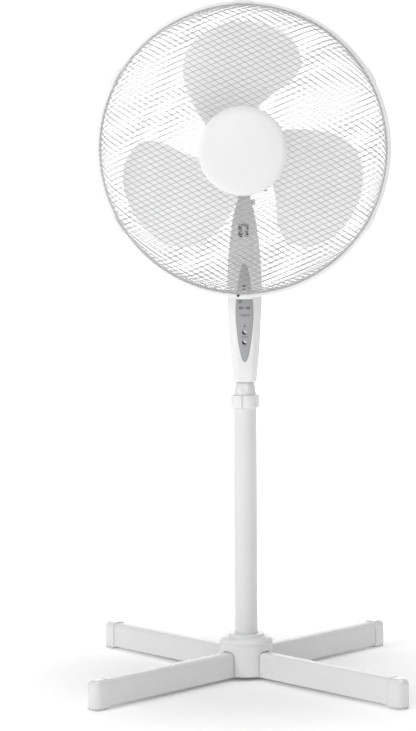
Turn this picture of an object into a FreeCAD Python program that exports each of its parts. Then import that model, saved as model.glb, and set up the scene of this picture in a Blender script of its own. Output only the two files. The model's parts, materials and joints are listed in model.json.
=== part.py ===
import FreeCAD, Part
import math
import os

# Pedestal fan, 40 cm class, on a four-legged cross base.
# Row frame: origin on the floor at the pole axis, +Z up, the fan blows towards -Y. Millimetres.

V = FreeCAD.Vector
os.makedirs("parts", exist_ok=True)

# ------------------------------------------------------------------ driving dimensions
LEG_TIP = 327.0        # pole axis to the outer face of a leg's end cap
LEG_W, LEG_Z0, LEG_Z1, LEG_T = 24.0, 4.2, 42.8, 1.2
CAP_W, CAP_LEN, CAP_Z0, CAP_Z1 = 26.4, 27.0, 2.9, 43.9
CAP_CORNER = 11.5      # plan radius of the two outer corners of an end cap
PAD_H = 2.9
BASE_TURN = 1.3        # the cross stands this many degrees round from square to the head
STAND_UP = 4.5         # the pole and all it carries are drawn this much lower than they stand
FLOOR_NODES = ("base_leg_a", "base_leg_b", "leg_end_caps", "foot_pads", "pole_flange", "base_screws", "base_cover")
POLE_R, POLE_WALL, POLE_Z0, POLE_Z1 = 18.0, 1.2, LEG_Z1 + 3.0 - STAND_UP, 421.0
MAST_R, MAST_WALL, MAST_Z0, MAST_Z1 = 12.5, 1.2, 75.0, 704.0
LIFT = 200.0           # height adjustment
NUT_Z0, NUT_ZR, NUT_Z1 = 421.2, 442.0, 461.0
HSG_Z0, HSG_Z1 = 462.0, 735.0
HSG_WALL = 2.4
FACE_Y = -24.0         # flat front face of the control housing
PANEL_Z0, PANEL_Z1, PANEL_W = 494.0, 646.5, 27.6
BTN_Z = (540.5, 525.0)
BTN_R = 3.85
TILT_Z = 742.0         # tilt hinge, about X
TILT_REST = 4.0        # the head looks down by this many degrees at rest
HEAD_Z = 825.5         # motor axis before the rest tilt is applied
RING_Y = -113.5        # plane of the guard rim before the rest tilt
RIM_R = 221.0          # outer radius of the guard rim
CAP_R = 65.6           # front medallion
BLADE_R = 190.0
SWING_Z = 764.0        # underside of the swing gear
GEAR_M, GEAR_N, PIN_N = 1.0, 60, 16
SWING_Y = 0.5 * GEAR_M * (GEAR_N + PIN_N)   # swing motor axis behind the swing pin


# ------------------------------------------------------------------ helpers
def box(x0, x1, y0, y1, z0, z1):
    return Part.makeBox(x1 - x0, y1 - y0, z1 - z0, V(x0, y0, z0))


def cyl(r, h, p, d=V(0, 0, 1)):
    return Part.makeCylinder(r, h, V(*p), d)


def tube(ro, ri, h, p, d=V(0, 0, 1)):
    return cyl(ro, h, p, d).cut(cyl(ri, h + 2, (V(*p) - d), d))


def rev_z(pts):
    w = Part.makePolygon([V(r, 0, z) for r, z in pts] + [V(pts[0][0], 0, pts[0][1])])
    return Part.Face(w).revolve(V(0, 0, 0), V(0, 0, 1), 360)


def rev_head(pts):
    """Revolve (radius, y) points about the motor axis."""
    w = Part.makePolygon([V(0, y, HEAD_Z + r) for r, y in pts] + [V(0, pts[0][1], HEAD_Z + pts[0][0])])
    return Part.Face(w).revolve(V(0, 0, HEAD_Z), V(0, 1, 0), 360)


def along(n, deg_step, shape, centre, axis, start=0.0):
    out = []
    for i in range(n):
        s = shape.copy()
        s.rotate(centre, axis, start + i * deg_step)
        out.append(s)
    return out


HC = V(0, 0, HEAD_Z)
YA = V(0, 1, 0)
XA = V(1, 0, 0)
ZA = V(0, 0, 1)
names = []


def put(name, shape, head=False):
    s = shape.copy()
    if head:
        s.rotate(V(0, 0, TILT_Z), XA, TILT_REST)
    if name in FLOOR_NODES:
        s.rotate(V(0, 0, 0), ZA, BASE_TURN)
    else:
        s.translate(V(0, 0, STAND_UP))
    if not s.isValid():
        print("INVALID", name)
    vols = [q.Volume for q in s.Solids]
    if not vols or min(vols) <= 0:
        print("BAD SOLIDS", name, vols)
    names.append(name)
    print("%-24s solids %2d volume %10.1f" % (name, len(vols), sum(vols)))
    s.exportStep("parts/" + name + ".step")


def group(shapes):
    sol = []
    for s in shapes:
        sol += s.Solids
    return Part.makeCompound(sol)


def one(s):
    """The single solid inside a boolean result."""
    s = s.removeSplitter()
    return s.Solids[0] if len(s.Solids) == 1 else s


# ------------------------------------------------------------------ cross base
def leg_section(grow, z_grow=None):
    """Tall tube section in the YZ plane at x = 0: top edges well rounded, bottom edges slightly."""
    zg = grow if z_grow is None else z_grow
    h = LEG_W / 2 + grow
    z0, z1 = LEG_Z0 - zg, LEG_Z1 + zg
    rt, rb = 7.0 + grow, max(2.0 + grow, 0.6)
    e = []

    def arc(cy, cz, r, a0, a1):
        p = [V(0, cy + r * math.cos(math.radians(a)), cz + r * math.sin(math.radians(a))) for a in (a0, (a0 + a1) / 2, a1)]
        return Part.Arc(*p).toShape()
    e.append(Part.makeLine(V(0, -h + rb, z0), V(0, h - rb, z0)))
    e.append(arc(h - rb, z0 + rb, rb, -90, 0))
    e.append(Part.makeLine(V(0, h, z0 + rb), V(0, h, z1 - rt)))
    e.append(arc(h - rt, z1 - rt, rt, 0, 90))
    e.append(Part.makeLine(V(0, h - rt, z1), V(0, -h + rt, z1)))
    e.append(arc(-h + rt, z1 - rt, rt, 90, 180))
    e.append(Part.makeLine(V(0, -h, z1 - rt), V(0, -h, z0 + rb)))
    e.append(arc(-h + rb, z0 + rb, rb, 180, 270))
    return Part.Face(Part.Wire(e))


LEG_END = LEG_TIP - 10.0
leg_out = leg_section(0).extrude(V(2 * LEG_END, 0, 0))
leg_out.translate(V(-LEG_END, 0, 0))
leg_in = leg_section(-LEG_T).extrude(V(2 * LEG_END + 4, 0, 0))
leg_in.translate(V(-LEG_END - 2, 0, 0))
leg = leg_out.cut(leg_in)
SCREW_R = 27.0
for sx in (-1, 1):
    leg = leg.cut(cyl(3.15, 60, (sx * SCREW_R, 0, 0)))
zm = (LEG_Z0 + LEG_Z1) / 2
hw = LEG_W / 2 + 0.6
leg_a = leg.cut(box(-hw, hw, -40, 40, zm - 0.3, 60))
leg_b = leg.cut(box(-hw, hw, -40, 40, 0, zm + 0.3))
leg_a.rotate(V(0, 0, 0), ZA, 45)
leg_b.rotate(V(0, 0, 0), ZA, -45)
put("base_leg_a", leg_a)
put("base_leg_b", leg_b)

# plastic end cap, wrapped over the tube end, with a thin lip round its mouth
cx0, cx1 = LEG_TIP - CAP_LEN, LEG_TIP


def cap_plan(inset, x_back, z):
    """Plan of an end cap: straight sides, two large outer corners."""
    h, x1, r = CAP_W / 2 - inset, cx1 - inset, CAP_CORNER - inset
    q = math.sqrt(0.5) * r
    e = [Part.makeLine(V(x_back, -h, z), V(x1 - r, -h, z)),
         Part.Arc(V(x1 - r, -h, z), V(x1 - r + q, -h + r - q, z), V(x1, -h + r, z)).toShape(),
         Part.makeLine(V(x1, -h + r, z), V(x1, h - r, z)),
         Part.Arc(V(x1, h - r, z), V(x1 - r + q, h - r + q, z), V(x1 - r, h, z)).toShape(),
         Part.makeLine(V(x1 - r, h, z), V(x_back, h, z)),
         Part.makeLine(V(x_back, h, z), V(x_back, -h, z))]
    return Part.Face(Part.Wire(e))


cap = cap_plan(0.0, cx0, CAP_Z0).extrude(V(0, 0, CAP_Z1 - CAP_Z0))
cap = cap.makeFillet(8.2, [e for e in cap.Edges if abs(e.CenterOfMass.z - CAP_Z1) < 0.01 and e.CenterOfMass.x > cx0 + 0.01])
cap = cap.makeFillet(1.4, [e for e in cap.Edges if abs(e.CenterOfMass.z - CAP_Z0) < 0.01 and e.CenterOfMass.x > cx0 + 0.01])
lip = leg_section(1.75).extrude(V(2.4, 0, 0))
lip.translate(V(cx0, 0, 0))
cap = cap.fuse(lip)
pocket = leg_section(0.05).extrude(V(CAP_LEN, 0, 0))
pocket.translate(V(cx0 - 0.1 - CAP_LEN + (LEG_END - cx0) + 0.1, 0, 0))
cap = one(cap.cut(pocket))
caps = along(4, 90, cap, V(0, 0, 0), ZA, 45)
pad = cap_plan(0.6, cx0 + 4.0, 0.0).extrude(V(0, 0, PAD_H))
pad = pad.makeChamfer(0.5, [e for e in pad.Edges if e.CenterOfMass.z < 0.01])
put("leg_end_caps", group(caps))
put("foot_pads", group(along(4, 90, pad, V(0, 0, 0), ZA, 45)))

# flange plate with a socket, screwed down through the crossed legs
FL_Z = LEG_Z1
flange = cyl(37.0, 3.0, (0, 0, FL_Z)).fuse(tube(20.4, 18.05, 16.5, (0, 0, FL_Z)))
flange = flange.cut(cyl(14.0, 20, (0, 0, FL_Z - 2)))
for a in (45, 135, 225, 315):          # welded nuts on the plate take the screws
    x, y = SCREW_R * math.cos(math.radians(a)), SCREW_R * math.sin(math.radians(a))
    flange = flange.fuse(cyl(5.6, 7.5, (x, y, FL_Z)))
for a in (45, 135, 225, 315):
    x, y = SCREW_R * math.cos(math.radians(a)), SCREW_R * math.sin(math.radians(a))
    flange = flange.cut(cyl(3.15, 20, (x, y, FL_Z - 5)))
put("pole_flange", one(flange))
scr = cyl(3.0, FL_Z + 7.0 - LEG_Z0 + 1.2, (SCREW_R, 0, LEG_Z0 - 1.2)).fuse(cyl(6.2, 3.0, (SCREW_R, 0, LEG_Z0 - 3.0)))
scr = scr.cut(Part.makeCylinder(1.8, 1.6, V(SCREW_R, 0, LEG_Z0 - 3.1)))
put("base_screws", group(along(4, 90, one(scr), V(0, 0, 0), ZA, 45)))

# cover: stepped rings round the pole, skirt with an arch over each leg
R0 = 42.0
outer = [(R0, 5.5), (R0, 50.5), (R0 - 1.2, 54.5), (R0, 56.0), (R0 + 0.3, 59.0), (R0 - 1.5, 62.1),
         (31.0, 64.1), (28.4, 64.7), (28.8, 67.1), (27.0, 68.7), (18.25, 68.9)]
inner = [(18.25, 66.1), (25.6, 65.9), (25.6, 62.9), (39.4, 59.5), (39.4, 5.5)]
cover = rev_z(outer + inner)
arch = leg_section(1.0).extrude(V(200, 0, 0))
arch.translate(V(-100, 0, 0))
low = box(-100, 100, -LEG_W / 2 - 1.0, LEG_W / 2 + 1.0, 0, 20)
for a in (45, -45):
    for s in (arch, low):
        q = s.copy()
        q.rotate(V(0, 0, 0), ZA, a)
        cover = cover.cut(q)
put("base_cover", one(cover))

outer_tube = tube(POLE_R, POLE_R - POLE_WALL, POLE_Z1 - POLE_Z0, (0, 0, POLE_Z0))
put("outer_tube", outer_tube)

# threaded collar pushed into the top of the outer tube, split collet above it
collar = tube(16.7, MAST_R + 0.1, 36.0, (0, 0, POLE_Z1 - 36.0)).fuse(tube(17.0, MAST_R + 0.1, 16.0, (0, 0, POLE_Z1)))
put("collar_bush", one(collar))
CT = POLE_Z1 + 16.0
collet = rev_z([(MAST_R + 0.15, CT), (16.4, CT), (16.4, CT + 4.0), (14.6, CT + 14.0), (MAST_R + 0.15, CT + 14.0)])
for i in range(4):
    s = box(10, 20, -0.8, 0.8, CT + 3.0, CT + 18.0)
    s.rotate(V(0, 0, 0), ZA, 45 + 90 * i)
    collet = collet.cut(s)
put("clamp_collet", one(collet))

# height nut: fluted ring below, smooth taper above
nut = rev_z([(17.3, NUT_Z0), (21.4, NUT_Z0), (22.4, NUT_Z0 + 1.0), (22.4, NUT_ZR - 1.5), (21.4, NUT_ZR - 0.3), (17.4, NUT_ZR + 0.2), (17.2, NUT_ZR + 0.4),
             (14.9, NUT_Z1 - 0.6), (14.5, NUT_Z1), (12.9, NUT_Z1), (12.9, CT + 17.5), (14.9, CT + 14.3), (17.3, CT + 4.0)])
# six finger grooves divide the grip ring into broad lobes
for k in range(6):
    a = math.radians(-99.3 + 60 * k)
    nut = nut.cut(cyl(2.0, 40, (22.6 * math.cos(a), 22.6 * math.sin(a), NUT_Z0 - 5)))
nut = nut.cut(cyl(17.3, CT + 4.0 - NUT_Z0 + 4, (0, 0, NUT_Z0 - 4)))
put("height_nut", one(nut))

# ------------------------------------------------------------------ mast: inner tube and control housing
inner_tube = tube(MAST_R, MAST_R - MAST_WALL, MAST_Z1 - MAST_Z0, (0, 0, MAST_Z0))
LOCK_X, LOCK_Z = -5.4, 692.7
lock_hole = cyl(2.2, 20, (LOCK_X, -20, LOCK_Z), YA)
tube_hole = [cyl(1.8, 12, (0, 6, z), YA) for z in (497.0, 642.0)]
for s in [lock_hole] + tube_hole:
    inner_tube = inner_tube.cut(s)
put("inner_tube", inner_tube)
plug = tube(16.5, MAST_R + 0.05, 30.0, (0, 0, MAST_Z0 - 2.0)).fuse(cyl(16.5, 4.0, (0, 0, MAST_Z0 - 5.0)))
plug = plug.cut(cyl(MAST_R + 0.05, 30, (0, 0, MAST_Z0)))
put("tube_end_guide", one(plug))

# section of the housing at height z: half width b, half depth d, front flat half width a
PROF = [(462, 18.3, 19.8, 13.8), (479, 20.0, 24.0, 14.5), (496, 21.8, 24.0, 15.0), (527, 23.9, 24.0, 15.4), (558, 25.5, 24.0, 15.5),
        (590, 27.0, 24.0, 15.5), (618, 26.9, 24.0, 15.5), (659, 24.9, 24.0, 15.0), (689, 21.8, 21.5, 14.4), (716, 17.9, 17.2, 13.0), (735, 14.0, 13.8, 10.6)]


def lerp(z):
    for (z0, b0, d0, a0), (z1, b1, d1, a1) in zip(PROF, PROF[1:]):
        if z <= z1:
            t = (z - z0) / (z1 - z0)
            return b0 + t * (b1 - b0), d0 + t * (d1 - d0), a0 + t * (a1 - a0)
    return PROF[-1][1:]


def hsg_wire(z, b, d, a, off):
    e = 0.36 * b
    b, d, a, e = b - off, d - off, a - off * 0.42, e - off * 0.35
    p = [(-a, -d), (a, -d), (b, -e), (b, e), (a, d), (-a, d), (-b, e), (-b, -e)]
    return Part.makePolygon([V(x, y, z) for x, y in p + p[:1]])


def hsg_solid(off, z0=None, z1=None):
    ws = []
    for z, b, d, a in PROF:
        ws.append(hsg_wire(z, b, d, a, off))
    parts = []
    for w0, w1 in zip(ws, ws[1:]):
        parts.append(Part.makeLoft([w0, w1], True, True))
    s = parts[0]
    for q in parts[1:]:
        s = s.fuse(q)
    return s


h_out = hsg_solid(0.0)
h_in = hsg_solid(HSG_WALL)
h_in2 = Part.makeLoft([hsg_wire(HSG_Z0 - 1, *PROF[0][1:], HSG_WALL), hsg_wire(HSG_Z0, *PROF[0][1:], HSG_WALL)], True, True)
h_in3 = Part.makeLoft([hsg_wire(735, *PROF[-1][1:], HSG_WALL), hsg_wire(737, *PROF[-1][1:], HSG_WALL)], True, True)
shell = h_out.cut(h_in).cut(h_in2).cut(h_in3)


def panel_face(grow):
    """Long leaf-shaped outline of the control panel in the XZ plane, with rounded tips."""
    zc, hh, ww = (PANEL_Z0 + PANEL_Z1) / 2, (PANEL_Z1 - PANEL_Z0) / 2 + grow, PANEL_W / 2 + grow
    right, left = [], []
    n = 16
    for i in range(n + 1):
        t = -math.cos(math.pi * i / n)
        w = ww * max(0.0, 1 - t * t) ** (0.5 + 0.75 * (1 - abs(t)))
        right.append(V(w, 0, zc + hh * t))
        if 0 < i < n:
            left.append(V(-w, 0, zc + hh * t))
    c = Part.BSplineCurve()
    c.interpolate(right + left[::-1], PeriodicFlag=True)
    return Part.Face(Part.Wire([c.toShape()]))


def extr_y(face, y0, y1):
    s = face.extrude(V(0, y1 - y0, 0))
    s.translate(V(0, y0, 0))
    return s


IN_Y = FACE_Y + HSG_WALL      # inner face of the front wall
front = shell.common(box(-60, 60, -60, 0, 400, 800))
# the front wall runs on upwards as a tongue that hides the tilt hinge
TONGUE = (748.0, 12.4, 13.6, 9.7)
tongue = Part.makeLoft([hsg_wire(735, *PROF[-1][1:], 0.0), hsg_wire(TONGUE[0], *TONGUE[1:], 0.0)], True, True)
tongue = tongue.cut(Part.makeLoft([hsg_wire(735, *PROF[-1][1:], HSG_WALL), hsg_wire(TONGUE[0], *TONGUE[1:], HSG_WALL)], True, True))
tongue = tongue.common(box(-30, 30, -30, -7.0, 735, 760)).cut(cyl(11.3, 60, (-30, 0, TILT_Z), XA))
front = front.fuse(tongue)
rear = shell.common(box(-60, 60, 0, 60, 400, 800))
front = front.cut(extr_y(panel_face(0.12), FACE_Y - 2, IN_Y + 2))
WIN = (-9.0, 7.0, 688.0, 709.0)     # access window for the lock screw
front = front.cut(box(WIN[0], WIN[1], -40, -12.9, WIN[2], WIN[3]))
# rear shell: pillars that reach the inner tube, screwed to it
HS_Z = (497.0, 642.0)
for z in HS_Z:
    b, d, a = lerp(z)
    rear = rear.fuse(cyl(5.0, d - HSG_WALL + 0.5 - MAST_R - 0.4, (0, MAST_R + 0.4, z), YA).cut(cyl(MAST_R + 0.4, 20, (0, 0, z - 10))))
for z in HS_Z:
    rear = rear.cut(cyl(1.9, 60, (0, 0, z), YA)).cut(cyl(3.6, 10, (0, 24.0 - 1.6, z), YA))
IN_Z = 520.0
rear = rear.cut(cyl(4.6, 30, (0, 16, IN_Z), YA))
put("control_housing_front", one(front))
put("control_housing_rear", one(rear))
scrs = []
for z in HS_Z:
    s = cyl(1.6, 24.0 - 1.6 - 9.0, (0, 9.0, z), YA).fuse(cyl(3.3, 1.5, (0, 24.0 - 1.6, z), YA))
    scrs.append(s.cut(box(-2.2, 2.2, 23.1, 25, z - 0.4, z + 0.4)))
put("housing_screws", group([one(s) for s in scrs]))
cb, cd, ca = lerp(IN_Z)
inlet = tube(4.5, 3.1, 5.6, (0, cd - HSG_WALL - 1.2, IN_Z), YA).fuse(tube(6.6, 3.1, 1.6, (0, cd + 0.2, IN_Z), YA))
put("cord_inlet_bush", one(inlet))

panel = extr_y(panel_face(0.0), FACE_Y - 0.9, IN_Y).fuse(extr_y(panel_face(1.6), IN_Y, IN_Y + 1.2))
panel = panel.common(box(-14.0, 14.0, -40, 0, 400, 800))
LEDS = [(-6.6, 588.0), (-6.0, 578.0), (6.3, 578.0)]
for x, z in LEDS:
    panel = panel.cut(cyl(1.55, 12, (x, -30, z), YA))
panel = panel.cut(cyl(2.75, 12, (0, -30, 610.5), YA))
for z in BTN_Z:
    panel = panel.cut(cyl(BTN_R + 0.3, 12, (0, -30, z), YA))
put("control_panel", one(panel))
PB = IN_Y + 1.2                # back of the panel
for nm, z in (("power_button", BTN_Z[0]), ("mode_button", BTN_Z[1])):
    b = cyl(BTN_R, 5.6, (0, PB - 5.6, z), YA).fuse(cyl(5.2, 1.0, (0, PB, z), YA))
    dome = Part.makeSphere(6.5, V(0, PB - 5.6 + 5.2, z)).common(cyl(BTN_R, 3, (0, PB - 5.6 - 3.0, z), YA))
    put(nm, one(b.fuse(dome)))
pcb = box(-11.5, 11.5, -17.2, -15.6, 510, 632)
for z in BTN_Z:
    pcb = pcb.fuse(box(-2.5, 2.5, -18.1, -17.2, z - 2.5, z + 2.5))
pcb = pcb.fuse(box(-8, 8, -19.6, -17.2, 553, 567))
put("control_pcb", one(pcb))
put("indicator_leds", group([cyl(1.45, 7.9, (x, -25.1, z), YA) for x, z in LEDS]))
ir = cyl(2.6, 7.5, (0, -25.2, 610.5), YA).fuse(box(-3.5, 3.5, -19.6, -17.2, 606.5, 614.5))
put("ir_receiver", one(ir))

# tilt fork: plug in the tube end, two cheeks that stand out of the housing
fork = cyl(MAST_R - MAST_WALL - 0.05, 32, (0, 0, MAST_Z1 - 32)).fuse(cyl(12.4, 4, (0, 0, MAST_Z1)).common(box(-9.4, 9.4, -20, 20, 600, 800)))
cheek = box(6.8, 9.4, -9.5, 9.5, MAST_Z1, TILT_Z).fuse(cyl(9.5, 2.6, (6.8, 0, TILT_Z), XA))
fork = fork.fuse(cheek).fuse(cheek.mirror(V(0, 0, 0), XA))
fork = fork.cut(cyl(3.05, 60, (-30, 0, TILT_Z), XA)).cut(cyl(1.7, 20, (LOCK_X, -20, LOCK_Z), YA))
put("tilt_fork", one(fork))
lock = cyl(1.6, 7.5, (LOCK_X, -MAST_R - 0.3, LOCK_Z), YA).fuse(cyl(2.4, 2.4, (LOCK_X, -MAST_R - 2.7, LOCK_Z), YA))
lock = lock.cut(box(LOCK_X - 1.6, LOCK_X + 1.6, -16, -14.4, LOCK_Z - 0.35, LOCK_Z + 0.35))
put("pillar_lock_screw", one(lock))
bolt = cyl(3.0, 28.0, (-9.4 - 0.9, 0, TILT_Z), XA).fuse(cyl(5.4, 2.8, (-9.4 - 0.9 - 2.8, 0, TILT_Z), XA))
put("tilt_bolt", one(bolt))
tw = group([tube(5.6, 3.1, 0.9, (9.4, 0, TILT_Z), XA), tube(5.6, 3.1, 0.9, (-10.3, 0, TILT_Z), XA)])
put("tilt_washers", tw)
hx = Part.Face(Part.makePolygon([V(10.3, 5.3 * math.cos(math.radians(60 * i)), TILT_Z + 5.3 * math.sin(math.radians(60 * i))) for i in range(7)]))
put("tilt_nut", hx.extrude(V(3.6, 0, 0)).cut(cyl(3.1, 60, (-20, 0, TILT_Z), XA)))

# ------------------------------------------------------------------ neck: tilts in the fork, carries the swing pin
BOSS_TOP = 774.0
neck = cyl(9.3, 13.0, (-6.5, 0, TILT_Z), XA).fuse(box(-6.5, 6.5, -9.3, 9.3, TILT_Z, 755.0))
neck = neck.fuse(Part.makeCone(9.0, 13.0, 4.8, V(0, 0, 752.2))).fuse(cyl(13.0, SWING_Z - 757.0, (0, 0, 757.0))).fuse(cyl(9.0, BOSS_TOP - 757.0, (0, 0, 757.0)))
neck = neck.cut(cyl(3.06, 60, (-30, 0, TILT_Z), XA)).cut(cyl(5.06, 40, (0, 0, 752.4)))
neck = neck.cut(cyl(2.1, 30, (0, 0, 760.0), XA))
put("neck", one(neck), True)


def gear_face(m, n, z, backlash, rot):
    """Involute spur gear outline, 20 degrees, centred on the origin; a tooth is centred at rot degrees."""
    rp = m * n / 2.0
    rb = rp * math.cos(math.radians(20))
    ra, rf = rp + 0.95 * m, rp - 1.2 * m
    half = (math.pi * m / 2 - backlash) / 2 / rp
    inv = lambda r: math.sqrt(max((r / rb) ** 2 - 1, 0)) - math.acos(min(rb / r, 1.0))
    inv0 = math.tan(math.radians(20)) - math.radians(20)
    pts = []
    for k in range(n):
        c = math.radians(rot) + 2 * math.pi * k / n
        side = []
        r_lo = max(rb, rf)
        if rf < rb:
            side.append((rf, half + inv0))
        for i in range(6):
            r = r_lo + (ra - r_lo) * i / 5.0
            side.append((r, half + inv0 - inv(r)))
        for r, a in side:
            pts.append((r, c - a))
        for r, a in reversed(side):
            pts.append((r, c + a))
    vs = [V(r * math.cos(a), r * math.sin(a), z) for r, a in pts]
    return Part.Face(Part.makePolygon(vs + vs[:1]))


sec = gear_face(GEAR_M, GEAR_N, SWING_Z, 0.16, 90).extrude(V(0, 0, 4))
sec = sec.cut(cyl(22.0, 10, (0, 0, SWING_Z - 2)))
wedge = Part.Face(Part.makePolygon([V(0, 0, SWING_Z - 1), V(90 * math.cos(math.radians(31)), 90 * math.sin(math.radians(31)), SWING_Z - 1),
                                    V(0, 90, SWING_Z - 1), V(-90 * math.cos(math.radians(31)), 90 * math.sin(math.radians(31)), SWING_Z - 1), V(0, 0, SWING_Z - 1)])).extrude(V(0, 0, 8))
sec = sec.common(wedge)
ring = tube(13.0, 9.1, 4, (0, 0, SWING_Z))
arms = cyl(24.0, 4, (0, 0, SWING_Z)).common(wedge).cut(cyl(9.1, 10, (0, 0, SWING_Z - 2)))
sector = one(sec.fuse(ring).fuse(arms))
put("swing_gear", sector, True)
put("swing_washer", tube(9.0, 5.1, 1.0, (0, 0, BOSS_TOP)), True)
ls = cyl(1.9, 8.6, (4.4, 0, 760.0), XA).fuse(cyl(3.4, 1.8, (13.0, 0, 760.0), XA))
put("swing_lock_screw", one(ls.cut(box(14.0, 15, -2.4, 2.4, 759.6, 760.4))), True)

# ------------------------------------------------------------------ head: motor
BR_Z = BOSS_TOP + 1.0
fb = rev_head([(8.0, -52.0), (18.0, -52.0), (18.0, -33.5), (44.0, -33.5), (44.0, -16.0), (39.0, -16.0), (39.0, -30.5), (12.0, -30.5), (12.0, -32.5), (8.0, -32.5)])
BOLTS = [(41.5, a) for a in (45, 135, 225, 315)]


def at(r, a):
    return r * math.cos(math.radians(a)), HEAD_Z + r * math.sin(math.radians(a))


for r, a in BOLTS:
    x, z = at(r, a)
    fb = fb.fuse(cyl(4.4, 17.5, (x, -33.5, z), YA))
fb = fb.cut(cyl(200, 100, (0, -16.0, HEAD_Z), YA))
for r, a in BOLTS:
    x, z = at(r, a)
    fb = fb.cut(cyl(2.0, 40, (x, -40, z), YA))
put("motor_front_bracket", one(fb), True)

core = rev_head([(22.4, -16.0), (42.0, -16.0), (42.0, 8.0), (22.4, 8.0)])
for r, a in BOLTS:
    x, z = at(r, a)
    core = core.fuse(cyl(4.4, 24.0, (x, -16.0, z), YA))
for i in range(8):
    x, z = at(29.5, 22.5 + 45 * i)
    core = core.cut(cyl(4.6, 40, (x, -26, z), YA))
for r, a in BOLTS:
    x, z = at(r, a)
    core = core.cut(cyl(2.0, 40, (x, -26, z), YA))
put("stator_core", one(core), True)
wind = rev_head([(24.0, -24.5), (26, -26.0), (34, -26.0), (36.0, -24.5), (36.0, -16.0), (24.0, -16.0)])
wind2 = rev_head([(24.0, 8.0), (36.0, 8.0), (36.0, 16.5), (34, 18.0), (26, 18.0), (24.0, 16.5)])
slots = []
w = wind.fuse(wind2)
for i in range(8):
    x, z = at(29.5, 22.5 + 45 * i)
    w = w.fuse(cyl(4.5, 24.4, (x, -16.2, z), YA))
put("stator_windings", one(w), True)

rb_ = rev_head([(8.0, 20.0), (8.0, 30.0), (12.0, 30.0), (12.0, 24.0), (42.5, 24.0), (42.5, 8.0), (38.6, 8.0), (38.6, 21.0), (12.0, 21.0), (12.0, 20.0)])
for r, a in BOLTS:
    x, z = at(r, a)
    rb_ = rb_.fuse(cyl(4.4, 16.0, (x, 8.0, z), YA))
arm = box(-13, 13, -13, 16, BR_Z, 800).cut(cyl(42.6, 40, (0, -32, HEAD_Z), YA))
arm = arm.cut(cyl(38.6, 40, (0, -20, HEAD_Z), YA)).common(box(-20, 20, -20, 30, 700, 795))
arm = arm.common(box(-20, 20, -20, 30, 700, HEAD_Z - 36))
plate = box(-17, 17, 10, 56, 782.5, 785.5).cut(cyl(38.6, 16.0, (0, 5, HEAD_Z), YA))
rb_ = rb_.fuse(arm).fuse(plate)
rb_ = rb_.cut(cyl(5.04, 8.6, (0, 0, BR_Z - 1)))
for r, a in BOLTS:
    x, z = at(r, a)
    rb_ = rb_.cut(cyl(2.0, 40, (x, 0, z), YA))
for s in (-1, 1):
    rb_ = rb_.cut(cyl(1.6, 20, (s * 13.5, SWING_Y + 8, 775)))
put("motor_rear_bracket", one(rb_), True)
pin = cyl(5.0, 27.0, (0, 0, 755.5)).cut(tube(6, 4.0, 5.2, (0, 0, 757.4)))
put("swing_pin", one(pin), True)
mb = []
for r, a in BOLTS:
    x, z = at(r, a)
    b = cyl(1.9, 62.0, (x, -33.5, z), YA).fuse(cyl(3.6, 2.6, (x, 24.0, z), YA))
    mb.append(one(b.common(box(-200, 200, -33.4, 40, 600, 1000))))
put("motor_bolts", group(mb), True)
bush_f = rev_head([(4.05, -50.0), (7.95, -50.0), (7.95, -33.0), (4.05, -33.0)])
bush_r = rev_head([(4.05, 20.5), (7.95, 20.5), (7.95, 29.5), (4.05, 29.5)])
put("motor_bearings", group([bush_f, bush_r]), True)

# motor casing: front cup and rear cup with a chin over the swing gear
def casing(g):
    """Outer form of the casing, shrunk by g."""
    body = rev_head([(0, -36.0 + g), (52.0 - g, -36.0 + g), (52.0 - g, 44.0 - g * 0.3), (49.0 - g, 56.0 - g * 0.7), (42.0 - g, 64.0 - g), (0, 66.0 - g)])
    ch = box(-36 + g, 36 - g, -22 + g, 62 - g, 760.0 + g, 800.0)
    ch = ch.makeFillet(10.0 - g, [e for e in ch.Edges if abs(e.CenterOfMass.z - (780.0 + g / 2)) < 1.0])
    return body.fuse(ch)


cas = casing(0.0).cut(casing(2.2))
SPLIT_Y = -12.0
cf = cas.common(box(-100, 100, -80, SPLIT_Y, 600, 1000)).cut(cyl(18.4, 40, (0, -60, HEAD_Z), YA))
cr = cas.common(box(-100, 100, SPLIT_Y, 100, 600, 1000))
hole = cyl(15.5, 20, (0, 0, 750))
cf, cr = cf.cut(hole), cr.cut(hole)
for i in range(-3, 4):
    h = 34 - abs(i) * 4
    cr = cr.cut(box(i * 9 - 1.8, i * 9 + 1.8, 50, 80, HEAD_Z - h, HEAD_Z + h))
for s in (-1, 1):
    for dz in (-14, 0, 14):
        v = box(40, 70, 2, 36, HEAD_Z + dz - 1.8, HEAD_Z + dz + 1.8)
        if s < 0:
            v = v.mirror(V(0, 0, 0), XA)
        cr = cr.cut(v)
put("motor_casing_front", one(cf), True)
put("motor_casing_rear", one(cr), True)

sm = cyl(18.0, 13.0, (0, SWING_Y, 769.5))
for s in (-1, 1):                      # swaged pegs into the casting
    sm = sm.fuse(cyl(1.45, 3.4, (s * 13.5, SWING_Y + 8, 782.0)))
sm = sm.cut(cyl(2.6, 20, (0, SWING_Y, 760)).common(box(-9, 9, 0, 99, 760, 776)))
put("swing_motor", one(sm), True)
pg = gear_face(GEAR_M, PIN_N, SWING_Z - 0.5, 0.16, -90 + 360.0 / PIN_N / 2).extrude(V(0, 0, 5.0))
pg.translate(V(0, SWING_Y, 0))
pg = pg.fuse(cyl(2.4, 6.5, (0, SWING_Y, SWING_Z + 4.4)))
put("swing_pinion", one(pg), True)

# ------------------------------------------------------------------ head: guard
Y = lambda u: RING_Y - u          # u is measured forward from the plane of the rim


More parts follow.
